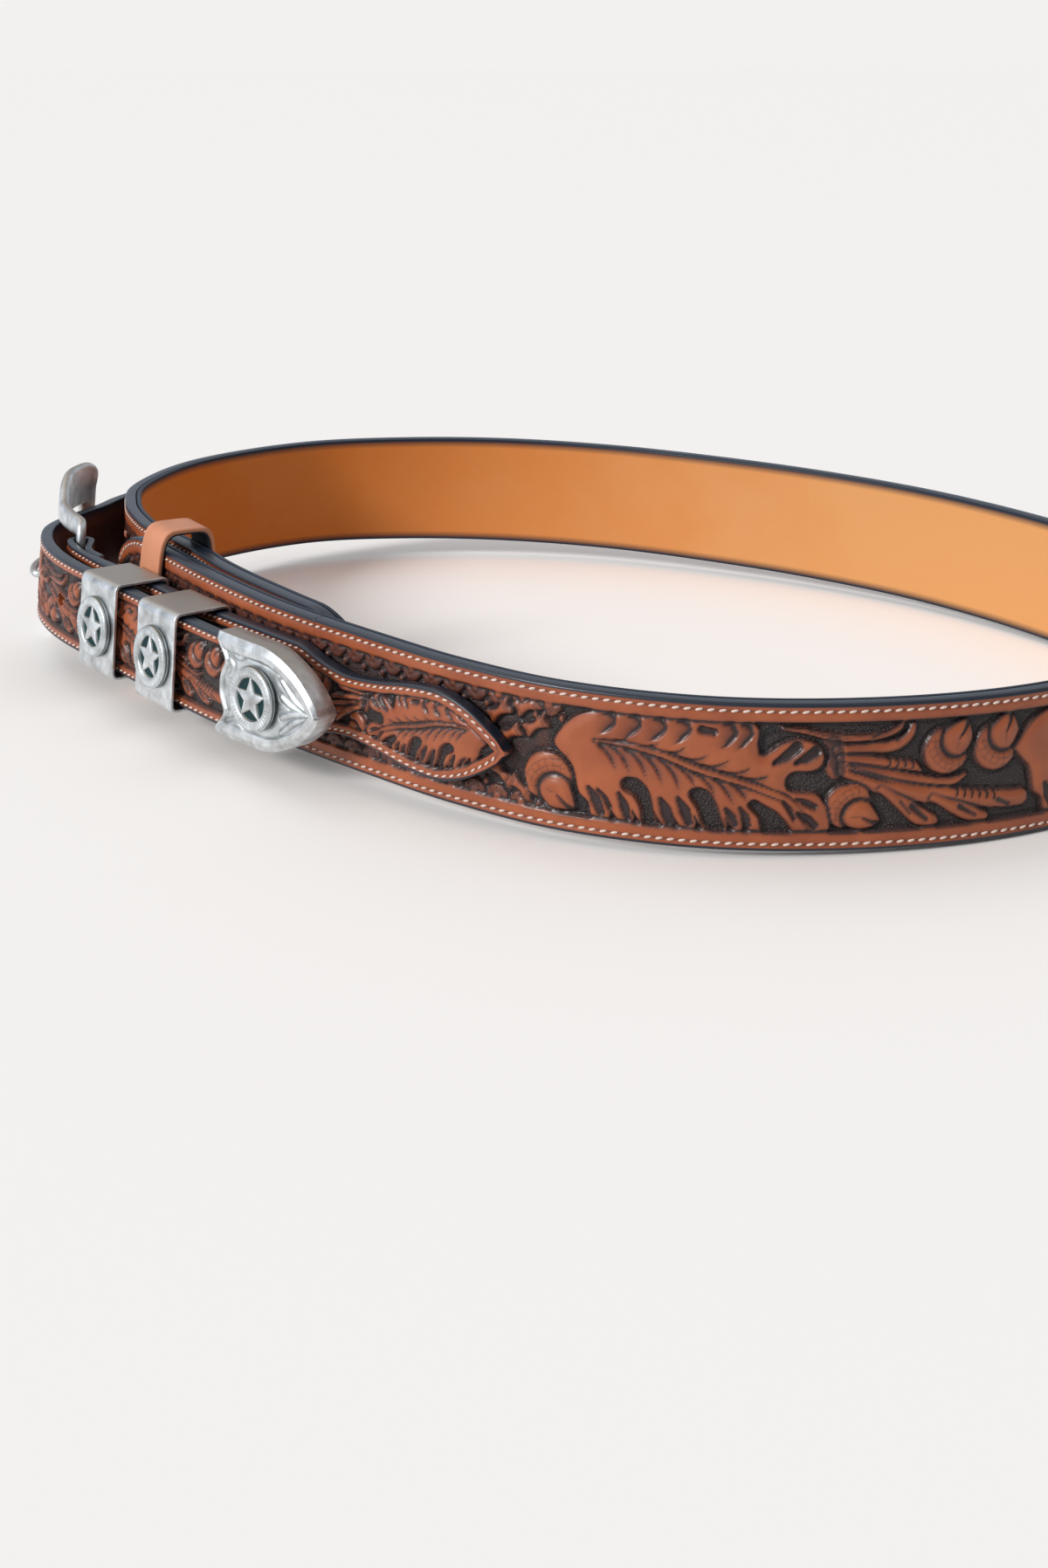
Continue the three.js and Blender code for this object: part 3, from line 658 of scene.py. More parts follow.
lowerVeins = [
    [(18.8, 25.4), (21.7, 22.9), (24.6, 18.3)], [(21.7, 25.4), (25, 22.9), (28.3, 17.8)],
    [(25.8, 24.9), (29.6, 22.1), (32.1, 17.1)], [(29.8, 24.4), (33.3, 21.3), (36.3, 15.8)],
    [(34, 23.6), (37.9, 20), (40.4, 14.6)], [(38.6, 22.4), (42.1, 19.2), (44.2, 16.9)],
    [(42.8, 21), (46.7, 17.9), (49.4, 13.8)], [(47.8, 19.6), (50.8, 16.7), (53.8, 12.2)],
    [(52, 18.4), (55, 15.8), (56.7, 13.6)],
]
upperVeins = [
    [(19.2, 26.4), (25, 27.1), (27.6, 29.2)], [(25, 26.2), (31.7, 26.3), (35, 27.9)],
    [(31.7, 25.4), (38.3, 25.4), (41.7, 27.5)], [(36.7, 24.4), (43.3, 24), (47.5, 25.8)],
    [(41.7, 22.7), (48.3, 22.7), (52.9, 25)], [(47.5, 21.2), (54.2, 21.3), (57.4, 23)],
    [(53.3, 19.6), (59.2, 20), (62.2, 21)],
]
midrib = [
    (18.3, 26.2), (25.8, 26), (31.7, 25.2), (36.7, 24.1), (43.3, 21.8), (50, 20), (56.7, 18.2),
    (61.7, 16.4), (66.3, 14.4), (70, 10.6), (72, 7),
]
acornNut = [
    (0.42, -0.72), (0.08, -0.52), (-0.04, -0.1), (0.14, 0.34), (0.62, 0.56), (1.15, 0.4), (1.6, 0.06),
    (1.34, -0.3), (0.98, -0.68),
]
acorns = [(81.5, 12.4, 6.1, -31), (105.8, 25.6, 6.2, 54), (119.4, 25.4, 6.3, 66)]  # centre, radius, turn
stems = [
    ([(63.3, 32.7), (70, 31.9), (75.8, 30.6), (83.3, 29.9), (89.2, 30.6), (92.9, 32.2), (94.2, 34)],
     (0.5, 0.9, 1.1, 1.1, 1, 0.9, 0.5)),
    ([(78.3, 27), (85.8, 27.1), (92.5, 28), (95.8, 30.4), (96.7, 33)], (1.4, 1.7, 1.7, 1.3, 0.8)),
    ([(79.2, 24.6), (85.8, 24), (90.8, 23.2), (97.5, 22), (99.6, 20.6)], (1.3, 1.6, 1.6, 1.5, 0.5)),
    ([(79.4, 22.8), (85.8, 21.2), (94.2, 19.6), (100.8, 18.3), (108, 17.6), (111.4, 19)],
     (1.1, 1.5, 1.5, 1.4, 1.4, 0.6)),
    ([(79.6, 21.4), (85.8, 18.6), (94.2, 16), (102.5, 14.3), (109.2, 13.4), (120, 11.6), (128, 11)],
     (1.2, 2.2, 2.4, 2.3, 2.3, 2.5, 2.4)),
    ([(89.5, 16.6), (95, 12.6), (100, 8.8), (103, 7.4)], (1, 1.9, 2.5, 2.1)),
    ([(103, 13.6), (109, 10.6), (114, 8.2), (117.5, 7.2)], (1, 1.9, 2.2, 1.6)),
]
stemRoot = [(74.4, 30), (79.6, 29.4), (80.2, 20.6), (77, 19.6), (75.2, 22), (76, 26)]
stemPears = [
    (97.6, 11.6, 101.6, 8.2, 0.9), (94.6, 13.2, 97.2, 9.8, 0.4), (110.4, 10.6, 115, 8, 0.7),
    (86.4, 30.2, 90.4, 31.8, 0.4), (92.8, 29.4, 95, 31.6, 0.5), (121, 11.4, 124.6, 9.6, 0.7),
]
stemLines = [
    [(80.4, 23.2), (86, 21.1), (94, 19.2)], [(80.8, 21.8), (87, 19.6), (94, 17.4)],
    [(80, 26), (86, 25.7), (91, 25.4)], [(70, 32), (76, 30.5), (83, 29.8)],
]
stemTicks = [
    (91, 23.6), (93, 23.4), (95, 23.1), (97, 22.8), (109.4, 14.6), (111.5, 14.3), (113.6, 14),
    (115.7, 13.6), (117.8, 13.2), (119.9, 12.8),
]
repeat = 118


def oakLeaf(tool):
    tool.blob(leafOutline, top=0.12, dome=0.55, moat=0.55, roll=3.4)
    for fold in leafFolds:
        tool.vein(fold, slope=1.0, lean=-1, wash=2.9, beads=0.0, darkening=0.97)
    for vein in upperVeins:
        tool.vein(vein, lean=-1)
    for vein in lowerVeins:
        tool.vein(vein)
    widths = (0.2, 0.55, 0.75, 0.85, 0.9, 0.85, 0.8, 0.8, 0.75, 0.5, 0.3)
    tool.stroke(midrib, widths, top=0.25, dome=0.25, moat=0.45)
    for hole in leafHoles:
        tool.pit(hole)
    for dent in leafLobes:
        tool.cut(dent, (0.5, 1.25, 1.35), 1.1, 0.97)
    tool.cut([(59.6, 26.6), (59.4, 29.2), (60.8, 31.7), (63.6, 32.6)], (0.7, 0.8, 0.7, 0.4), 1.0, 0.97)
    for x, y, toX, toY, wide in leafPears:
        line = [(x, y), ((x + toX) / 2 + 0.3, (y + toY) / 2), (toX, toY)]
        tool.cut(line, (wide * 0.3, wide, wide * 0.75), 0.9, 0.95)
    for x in leafNotches:
        tool.cut([(x + 0.4, 5), (x + 0.1, 7), (x - 0.8, 9.4)], (1, 0.6, 0.1), 0.9, 0.9)
    tool.cut([(44.8, 31.8), (47.8, 31.3)], (0.95, 0.8), 1.0, 0.98)


def turnedAt(x, y, turn, size=1):
    c, s = size * math.cos(math.radians(turn)), size * math.sin(math.radians(turn))
    return lambda points: [(x + c * a - s * b, y + s * a + c * b) for a, b in points]


def acorn(tool, x, y, radius, turn):
    spot = turnedAt(x, y, turn, radius)
    cap = [(math.cos(a), math.sin(a)) for a in np.radians(range(0, 360, 30))]
    tool.blob(spot(cap), top=0.1, dome=0.5, moat=0.55)
    for ring in (1.02, 1.28, 1.52):
        tool.arcCut(spot([(0.62, -0.1)])[0], radius * ring, turn + 180, 62, 0.12, 0.16, 0.6)
    for spoke in range(110, 256, 16):
        a = math.radians(spoke)
        ends = [(0.62 + r * math.cos(a), -0.1 + r * math.sin(a)) for r in (0.8, 1.2, 1.66)]
        ends = [p for p in ends if math.hypot(*p) < 0.97]
        if len(ends) > 1:
            tool.cut(spot(ends), (0.12, 0.12), 0.16, 0.6)
    tool.blob(spot(acornNut), top=0.1, dome=0.6, moat=1.1, reach=1.1, halo=1.0)
    tool.cut(spot([(0.7, -0.1), (1.1, -0.08), (1.58, 0)]), (0.1, 0.45, 0.95), 0.6, 0.95)
    tool.cut(spot([(0.3, -0.3), (0.5, -0.2), (0.62, -0.1)]), (0.12, 0.2, 0.1), 0.2, 0.5)


def stemWork(tool):
    tool.blob(stemRoot, top=-0.45, dome=0.2, moat=0.2)
    for points, widths in stems:
        tool.stroke(points, widths, top=0.1, dome=0.6, moat=0.5)
    for points in stemLines:
        tool.vein(points, slope=0.35)
    for x, y, toX, toY, wide in stemPears:
        tool.cut([(x, y), (toX, toY)], (wide, wide * 0.7), 0.45)
    for x, y in stemTicks:
        tool.arcCut((x - 1, y), 1.25, 0, 58, 0.3, 0.4, 0.9)
    tool.cut([(76.8, 29.4), (77.6, 25.6), (78.6, 21.4)], (2, 2.2, 1.6), 0.25, 0.8)


def scallop(tool, x, y, facing):
    tool.moveTo(x, y)
    rows, px, py = tool.window(np.array([[x, y]]), 4.4)
    if not px.size:
        return
    dx, dy = px - x, (py - y) * facing
    gap = np.hypot(dx, dy)
    half = smooth((dy + 0.3) / 0.4)
    tool.lift(rows, (3.75 - gap) * half - (1 - half), -0.2, 0.4, 0.35, 0.6)
    tool.darkening[rows] = np.maximum(tool.darkening[rows], 0.5 * smooth((3.9 - gap) / 0.3) * half)
    ray = 0.5 + 0.5 * np.cos(np.arctan2(dy, dx) * 26)
    band = np.exp(-(((gap - 2.75) / 0.75) ** 4)) * half
    tool.height[rows] -= 0.5 * ray * band
    tool.darkening[rows] = np.maximum(tool.darkening[rows], 0.85 * ray * band)
    for radius in (1.75, 3.5):
        groove = np.exp(-(((gap - radius) / 0.22) ** 2)) * half
        tool.height[rows] -= 0.35 * groove
        tool.darkening[rows] = np.maximum(tool.darkening[rows], 0.8 * groove)
    tool.lift(rows, (1.1 - gap) * half - (1 - half), 0.0, 0.5, 0.2, 0.5)


def scallopRow(tool, start, steps, low, high):
    for step in range(steps[0], steps[1] + 1):
        x = start + scallopPitch * step
        for y, facing in ((low, 1), (high, -1)):
            tool.moveTo(x + scallopPitch / 2, y)
            petal = [(-1, 3.4 * facing), (0, 5.2 * facing), (1, 3.4 * facing), (0, 2.6 * facing)]
            tool.blob(petal, top=0.0, dome=0.35, moat=0.3)
            scallop(tool, x, y, facing)


chevrons = [  # centre and turn
    (196, 28, 34), (199.5, 23, 30), (204.5, 31, 26), (207, 26.5, 32), (197, 12, -34), (203, 9.5, -30),
]


def chevronWork(tool):
    # Bow-shaped basket stamps between the leaf end and the first oak leaf
    for x, y, turn in chevrons:
        tool.moveTo(0, 0)
        spot = turnedAt(x, y, turn)
        bow = [(-3.8, 2), (0, 1.1), (3.8, 2), (3.5, 0), (3.8, -2), (0, -1.1), (-3.8, -2), (-3.5, 0)]
        tool.blob(spot(bow), top=0.05, dome=0.3, moat=0.4, roll=1.2)
        for tick in (-3, -2.3, 2.3, 3):
            tool.cut(spot([(tick, 1.3), (tick, -1.3)]), (0.16, 0.16), 0.3, 0.85)


def borders(tool, inset, border, stitchAt):
    # inset is each spot's distance from the strap's edge
    every = slice(None)
    tool.lift(every, border - inset, 0.0, 0.35, 0.45, 0.7)
    groove = 0.4 - np.abs(inset - stitchAt)
    tool.press(every, groove, 0.22, 0.4, 0.22)
    tool.matted[inset < border - 0.4] = 0


def readTool(tool, fine=4, broad=34):
    # Darkens what is cut, the steep sides and the ground beside what stands up: antique dye (oxide on
    # silver) in the hollows, with painted shade on the walls and round raised forms
    near = levels(tool.height, fine) - tool.height
    far = levels(tool.height, broad) - tool.height
    alongStep, upStep = np.gradient(tool.height)
    cell = np.abs(np.diff(tool.up, axis=1)).max()
    steep = levels(np.clip(np.hypot(alongStep, upStep) / cell - 0.25, 0, 1.5), 1)
    sunk = np.clip(-tool.height - 0.35, 0, 1) * 0.8
    # near and sunk darken the cuts (antique dye with painted shade); far darkens the ground round raised
    # forms and steep darkens the walls (painted shade)
    dark = np.clip(near * 4, 0, 1) * 0.7 + np.clip(far * 2.4, 0, 1) * 0.75 + sunk + steep * 0.7
    dark = np.maximum(dark * (1 - tool.matted), tool.darkening)
    return np.clip(dark, 0, 1), np.clip(tool.matted, 0, 1)


def strapPiece(name, spot, x, half, thickness, nominal, carve=None):
    # spot(x, height above the outer face, up) places the strap's own corners
    thickness = np.broadcast_to(np.asarray(thickness, float), x.shape)
    side, depth, faceCount = loopOfSection(
        nominal["half"], nominal["thickness"], nominal["cell"], nominal["outer"], nominal["inner"]
    )
    onFace = np.arange(len(side)) < faceCount
    up = middle + side * half[:, None] / nominal["half"]
    height = (depth / nominal["thickness"] - 1) * thickness[:, None]
    lip = nominal["half"] - np.abs(side)
    edge = np.where(onFace, np.clip(1 - (lip - nominal["outer"]) / 0.4, 0, 1), 1)
    fleshSide = (depth < 0.01) & (lip > nominal["inner"] + 0.1)
    edge = np.where(fleshSide, 0.0 if carve else edge[0], edge)
    marks = {"edge": edge, "dark": 0.0, "matted": 0.0}
    if carve:
        tool = carve(x[:, None], up[:, :faceCount], half[:, None], np.gradient(half, x)[:, None])
        rest = ((0, 0), (0, len(side) - faceCount))
        height = height + np.pad(np.maximum(tool.height, -0.5 * thickness[:, None]), rest)
        marks["dark"], marks["matted"] = (np.pad(layer, rest) for layer in readTool(tool))
        marks["dark"][:, fleshSide] = 0.72
    return gridMesh(name, spot(x[:, None], height, up), marks)


def edgeInset(up, half, slope):
    return (half - np.abs(up - middle)) / np.sqrt(1 + slope**2)


# Body strap, in three lengths: the near side has the finest cells

nearStart, nearEnd = 128, 448
farPatternEnd = 800
scallopPitch = 7.4
patternStart = 205
repeatCount = 5  # enough repeats for the longest strap
bodyTotal = girth + body["overlap"]


def bodySpot(x, height, up):
    return place(x, bodyFace(x) + height, up)


def carveBody(x, up, half, slope):
    tool = Tooling(x, up, body["fieldDepth"])
    low, high = body["border"], body["width"] - body["border"]
    for start, end in ((-4, 208), (farPatternEnd + 4, bodyTotal)):
        first, last = max(start, x.min() - 8), min(end, x.max() + 8)
        if first < last:
            steps = (round((first - start) / scallopPitch), round((last - start) / scallopPitch))
            scallopRow(tool, start, steps, low, high)
    if x.min() < 210:
        chevronWork(tool)
    plain = smooth((212 - x) / 6) + smooth((x - farPatternEnd - 4) / 6)
    washed = smooth((197 - x) / 9) + smooth((x - farPatternEnd - 8) / 6)
    tool.darkening = np.maximum(tool.darkening, np.maximum(0.86 * plain * tool.matted, 0.7 * washed))
    tool.matted = tool.matted * (1 - 0.55 * plain)
    for turn in range(repeatCount):
        start = patternStart + repeat * turn
        if x.min() - 140 < start < x.max():
            tool.moveTo(start, body["patternDrop"])
            stemWork(tool)
            for spec in acorns:
                acorn(tool, *spec)
            oakLeaf(tool)
            if turn == 0:
                acorn(tool, 5.7, 14.6, 6.9, -48)
    borders(tool, edgeInset(up, half, slope), body["border"], body["stitchInset"])
    return tool


def bodyLength(name, start, end, cell, stepCell):
    x = np.linspace(start, end, round((end - start) / stepCell) + 1)
    if start == 0:
        x = np.r_[np.linspace(0, 3, 12)[:-1], x[x >= 3]]
    if end == bodyTotal:
        x = np.r_[x[x <= end - 3], np.linspace(end - 3, end, 12)[1:]]
    nominal = {"half": middle, "thickness": body["tooling"], "cell": cell, "outer": 0.75, "inner": 0.35}
    mesh = strapPiece(name, bodySpot, x, bodyHalf(x), body["tooling"], nominal, carveBody)
    finishPiece(name, mesh, tooledLeather, ["body_strap"])


def lining():
    x = np.linspace(0, bodyTotal, 640)
    spot = lambda x, height, up: place(x, bodyFace(x) - bodyThickness - height, up)
    nominal = {"half": middle, "thickness": body["lining"], "cell": 2.4, "outer": 0.6, "inner": 0.2}
    mesh = strapPiece("smooth_lining", spot, x, bodyHalf(x), body["lining"], nominal)
    finishPiece("smooth_lining", mesh, liningLeather, ["body_lining"])


bodyLength("tooled_body_near", nearStart, nearEnd, body["fineCell"], body["fineCell"])
bodyLength("tooled_body_start", 0, nearStart, body["coarseCell"], body["coarseCell"])
bodyLength("tooled_body_far", nearEnd, bodyTotal, body["coarseCell"], 0.72)
lining()
print("body strap carved and lined")

# Billets: narrow straps with leaf-shaped ends, carved with a smaller oak pattern

billet = {
    "width": 25.4,
    "thickness": 3.8,
    "skived": 2.2,
    "leaf": 76,
    "border": 3.1,
    "fieldDepth": 1.0,
    "cell": 0.44,
    "pattern": 0.62,
    "stitchInset": 1.45,
    "holeRadius": 2.1,
    "holePitch": 25.4,
    "holeCount": 5,
    "tongueHole": 3,
    "bulge": 19.1,
}
buckle = {
    "height": 54,
    "heelHeight": 34,
    "thickness": 3,
    "bow": 5.6,
    "toeOut": 2.6,
    "toeBar": 7,
    "bar": 1.8,
    "barOut": 11,
    "tongue": 1.2,
    "slot": 7,
    "foldReturn": 20,
    "corner": 1,
}
tip = {"length": 42, "wall": 1, "depth": 7.6, "bevel": 1.1, "rim": 1.8, "field": 0.5}
billetHalf = billet["width"] / 2
billetNominal = {
    "half": billetHalf,
    "thickness": billet["thickness"],
    "cell": billet["cell"],
    "outer": 0.8,
    "inner": 0.5,
}
tipRise = [
    (farLeafPointAt, 0), (farSeamAt, 0), (farSeamAt + 16, 0.1), (farSeamAt + 31, 0.26),
    (toeAt + 5, 0.38), (bulgeAt - 24, 0.69), (bulgeAt - 11, 0.96), (bulgeAt, 1),
    (bulgeAt + 17, 0.94), (bulgeEndAt, 0.87), (keeperAt[0], 0.75), (sum(keeperAt) / 2, 0.68),
    (keeperAt[1], 0.635), (tipAt, 0.61), (tipAt + tip["length"], 0.6),
]
buckleRise = [
    (barAt, 1), (barAt + 19, 0.8), (bulgeEndAt + 4, 0.65), (keeperAt[0], 0.43),
    (sum(keeperAt) / 2, 0.28), (keeperAt[1], 0.2), ((keeperAt[1] + seamAt) / 2, 0.07),
    (seamAt, 0), (leafPointAt, 0),
]
leafEnd = [
    (0, 0.05), (0.03, 0.24), (0.08, 0.47), (0.15, 0.72), (0.22, 0.88), (0.3, 0.96), (0.42, 0.9),
    (0.56, 0.75), (0.72, 0.66), (0.86, 0.79), (1, 1),
]


def leafHalf(fromPoint):
    return billetHalf * through(leafEnd, fromPoint / billet["leaf"])


def tipInner(along):
    return seat + billet["bulge"] * through(tipRise, along)


def tipSpot(x, height, up):
    return place(x, tipInner(x) + billet["thickness"] + height, up)


def carveBillet(first, flip):
    # first is where the first leaf starts, flip the way it points
    def carve(x, up, half, slope):
        tool = Tooling(x, up, billet["fieldDepth"])
        scale = billet["pattern"]
        for turn in range(repeatCount):
            tool.moveTo(first + flip * turn * repeat * scale, middle * (1 - scale) - 0.4, scale, flip)
            stemWork(tool)
            for spec in acorns:
                acorn(tool, *spec)
            oakLeaf(tool)
        borders(tool, edgeInset(up, half, slope), billet["border"], billet["stitchInset"])
        return tool

    return carve


def cutBy(mesh, name, punch):
    # Cuts the mesh by a punch, whose faces are marked dark, and keeps the marks of both
    bmesh.ops.recalc_face_normals(punch, faces=punch.faces)
    cutter = bpy.data.meshes.new(name)
    punch.to_mesh(cutter)
    punch.free()
    dark = cutter.attributes.new("dark", "FLOAT", "POINT")
    dark.data.foreach_set("value", np.ones(len(cutter.vertices)))
    things = [addObject(part.name, part) for part in (mesh, cutter)]
    bite = things[0].modifiers.new("bite", "BOOLEAN")
    bite.object = things[1]
    bite.solver = "EXACT"
    graph = bpy.context.evaluated_depsgraph_get()
    made = bpy.data.meshes.new_from_object(things[0].evaluated_get(graph))
    for thing in things:
        bpy.data.objects.remove(thing)
    return made


def fineEnds(start, end, step, point):
    # Even stations with closer ones at the leaf's point
    x = np.linspace(start, end, round((end - start) / step) + 1)
    close = point + np.sign(x.mean() - point) * np.array([0, 0.1, 0.2, 0.32])
    return np.unique(np.r_[x[np.abs(x - point) > 0.4], close])


def tipBillet():
    end = tipAt + tip["length"] - 3 * tip["depth"]
    x = fineEnds(farLeafPointAt, end, billet["cell"], farLeafPointAt)
    half = leafHalf(x - farLeafPointAt)
    carve = carveBillet(farLeafPointAt, 1)
    mesh = strapPiece("tip_billet_cut", tipSpot, x, half, billet["thickness"], billetNominal, carve)
    drill = bmesh.new()
    radius = billet["holeRadius"]
    for i in range(billet["holeCount"]):
        at = bulgeAt + (billet["tongueHole"] - 1 - i) * billet["holePitch"]
        size = {"segments": 28, "radius1": radius, "radius2": radius, "depth": 9}
        made = bmesh.ops.create_cone(drill, cap_ends=True, **size)
        for corner in made["verts"]:
            x0, y0, z0 = corner.co
            corner.co = tipSpot(at + x0, z0 - billet["thickness"] / 2, middle + y0)
    mesh = cutBy(mesh, "punched_holes", drill)
    finishPiece("tip_billet_leather", mesh, tooledLeather, ["tip_billet"])


# Buckle billet: the centre line runs from the leaf's point to the bar, round it and back beneath

foldStep = 0.44


def buckleInner(along):
    return seat + (buckle["barOut"] + buckle["bar"]) * through(buckleRise, along)


def foldLine():
    at = np.arange(leafPointAt, barAt, -foldStep)
    share = smooth((at - barAt - 12) / (bulgeEndAt - barAt))
    thick = billet["skived"] + (billet["thickness"] - billet["skived"]) * share
    radius = buckle["bar"] + seat + billet["skived"] / 2
    turn = np.radians(np.linspace(90, 270, 26))
    step = np.arange(foldStep, buckle["foldReturn"], foldStep)
    under = buckleInner(barAt + step) - seat - billet["skived"] / 2
    share = smooth(step / (buckle["foldReturn"] * 0.7))
    low = buckle["barOut"] - radius
    line = np.vstack([
        np.stack([at, buckleInner(at) + thick / 2], axis=1),
        np.stack([barAt + radius * np.cos(turn), buckle["barOut"] + radius * np.sin(turn)], axis=1),
        np.stack([barAt + step, low + (under - low) * share], axis=1),
    ])
    thick = np.r_[thick, np.full(len(turn) + len(step), billet["skived"])]
    run = np.gradient(line, axis=0)
    run /= np.linalg.norm(run, axis=1, keepdims=True)
    gone = np.r_[0, np.cumsum(np.linalg.norm(np.diff(line, axis=0), axis=1))]
    order = np.argsort(-gone)
    return [values[order] for values in (leafPointAt - gone, *line.T, *run.T, thick)]


foldRun, *foldColumns = foldLine()


def foldSpot(x, height, up):
    at, out, runAt, runOut, thick = (np.interp(x, foldRun, column) for column in foldColumns)
    lift = thick / 2 + height
    return place(at + runOut * lift, out - runAt * lift, up)


def buckleBillet():
    x = fineEnds(foldRun[0], leafPointAt, foldStep, leafPointAt)
    half = leafHalf(leafPointAt - x)
    thickness = np.interp(x, foldRun, foldColumns[-1])
    carve = carveBillet(leafPointAt, -1)
    mesh = strapPiece("buckle_billet_cut", foldSpot, x, half, thickness, billetNominal, carve)
    punch = bmesh.new()
    bmesh.ops.create_cube(punch, size=1)
    bmesh.ops.subdivide_edges(punch, edges=punch.edges, cuts=5, use_grid_fill=True)
    reach = buckle["bar"] + seat + billet["skived"] + buckle["tongue"]
    for corner in punch.verts:
        x0, y0, z0 = corner.co
        at = barAt + (x0 * 2 - 0.2) * reach
        corner.co = place(at, buckle["barOut"] + z0 * 2.4 * reach, middle + y0 * buckle["slot"])
    mesh = cutBy(mesh, "tongue_slot", punch)
    finishPiece("buckle_billet_leather", mesh, tooledLeather, ["buckle_billet"])


tipBillet()
buckleBillet()
print("billets carved")

# Stitching: one small bead of thread for each stitch, joined into a row for each strap

stitch = {
    "pitch": 2.85,
    "billetPitch": 2.5,
    "billetSize": 0.85,  # next to a stitch of the body
    "length": 2,
    "width": 0.8,
    "height": 0.8,
    "slant": 14,
    "sunk": 0.1,
}


def stitchLine(x, half, inset, pitch):
    line = np.stack([x, half], axis=1)
    step = np.gradient(line, axis=0)
    step /= np.linalg.norm(step, axis=1, keepdims=True)
    line = line + inset * np.stack([step[:, 1], -step[:, 0]], axis=1)
    line = line[line[:, 1] > 0.8]
    gone = np.r_[0, np.cumsum(np.linalg.norm(np.diff(line, axis=0), axis=1))]
    count = int(gone[-1] / pitch)
    at = (np.arange(count) + 0.5) * gone[-1] / count
    centre = np.stack([np.interp(at, gone, line[:, k]) for k in (0, 1)], axis=1)
    ahead = np.stack([np.interp(at + 0.5, gone, line[:, k]) for k in (0, 1)], axis=1)
    return centre, np.arctan2(*(ahead - centre).T[::-1])


def stitchRow(name, spot, x, half, inset, pitch, size=1.0):
    bead = bmesh.new()
    bmesh.ops.create_uvsphere(bead, u_segments=6, v_segments=5, radius=1)
    form = np.array([vertex.co for vertex in bead.verts])
    single = bpy.data.meshes.new(name + "_bead")
    bead.to_mesh(single)
    bead.free()
    centre, turn = stitchLine(x, half, inset, pitch)
    places = []
    for side in (1, -1):
        lean = (turn + math.radians(stitch["slant"]) * side)[:, None]
        run = form[:, 2] * stitch["length"] / 2 * size
        across = form[:, 0] * stitch["width"] / 2 * size
        at = centre[:, :1] + run * np.cos(lean) - across * np.sin(lean)
        up = centre[:, 1:] + run * np.sin(lean) + across * np.cos(lean)
        height = form[:, 1] * stitch["height"] / 2 * size - stitch["sunk"]
        places.append(spot(at, np.broadcast_to(height, at.shape), middle + side * up))
    places = np.concatenate(places)
    row = bmesh.new()
    for count in range(len(places)):
        row.from_mesh(single)
    mesh = bpy.data.meshes.new(name)
    row.to_mesh(mesh)
    mesh.vertices.foreach_set("co", places.reshape(-1))
    row.clear()
    row.from_mesh(mesh)
    finishPiece(name, smoothInto(mesh, row), thread)


def stitching():
    x = np.linspace(0, bodyTotal, 3000)
    stitchRow("body_stitches", bodySpot, x, bodyHalf(x), body["stitchInset"], stitch["pitch"])
    inset, pitch, size = billet["stitchInset"], stitch["billetPitch"], stitch["billetSize"]
    x = np.linspace(farLeafPointAt, tipAt + 3, 1200)
    half = leafHalf(x - farLeafPointAt)
    stitchRow("tip_billet_stitches", tipSpot, x, half, inset, pitch, size)
    x = np.linspace(barAt + 6, leafPointAt, 1200)
    half = leafHalf(leafPointAt - x)
    stitchRow("buckle_billet_stitches", foldSpot, x, half, inset, pitch, size)


stitching()
print("stitches sewn")

# Leather loop: an arched band round both body ends, black on its inner side

band = {"width": 14, "wall": 1.8, "rise": 4.5, "squareness": 0.38}


def boxTrack(width, height, steps):
    # Corner middles and the ways out of them, round a box, with close rows beside each corner
    turn = np.linspace(0, math.pi / 2, steps + 1)
    signs = np.array([(1, 1), (-1, 1), (-1, -1), (1, -1)])
    middles, outs = [], []
    for k in range(4):
        here, there = signs[k] * [width / 2, height / 2], signs[(k + 1) % 4] * [width / 2, height / 2]
        way = np.stack([np.cos(turn + k * math.pi / 2), np.sin(turn + k * math.pi / 2)], axis=1)
        share = np.array([0.04, 0.3, 0.7, 0.96])[:, None]
        middles += [np.tile(here, (steps + 1, 1)), here + (there - here) * share]
        outs += [way, np.tile(way[-1], (len(share), 1))]
    middles, outs = np.vstack(middles), np.vstack(outs)
    return np.vstack([middles, middles[:1]]), np.vstack([outs, outs[:1]])


def roundedBox(width, height, radius, steps=4):
    middles, outs = boxTrack(width - 2 * radius, height - 2 * radius, steps)
    return middles + radius * outs


def leatherLoop():
    outer = 2 * seat
    inner = -2 * bodyThickness - body["slack"] - 3 * seat
    section = roundedBox(band["width"], band["wall"], 0.5, 3)
    turn = np.radians(np.linspace(0, 360, 181))[:, None]
    square = lambda value: np.sign(value) * np.abs(value) ** band["squareness"]
    grow = section[:, 1] + band["wall"] / 2
    out = (inner + outer) / 2 + ((outer - inner) / 2 + grow) * square(np.cos(turn))
    up = middle + (middle + band["rise"] + grow) * square(np.sin(turn))
    points = place(loopAt + section[:, 0], out, up)
    inside = np.clip((0.8 - grow) / 0.3, 0, 1)
    mesh = gridMesh("arched_loop", points, {"dark": inside}, ring=True)
    finishPiece("arched_loop", mesh, loopLeather, ["leather_loop"])


# Metal keepers: bands of sheet with softly broken edges

metalKeeper = {"length": 21, "wall": 1, "slack": 2, "ease": 0.7, "corner": 2.2, "edge": 0.28}


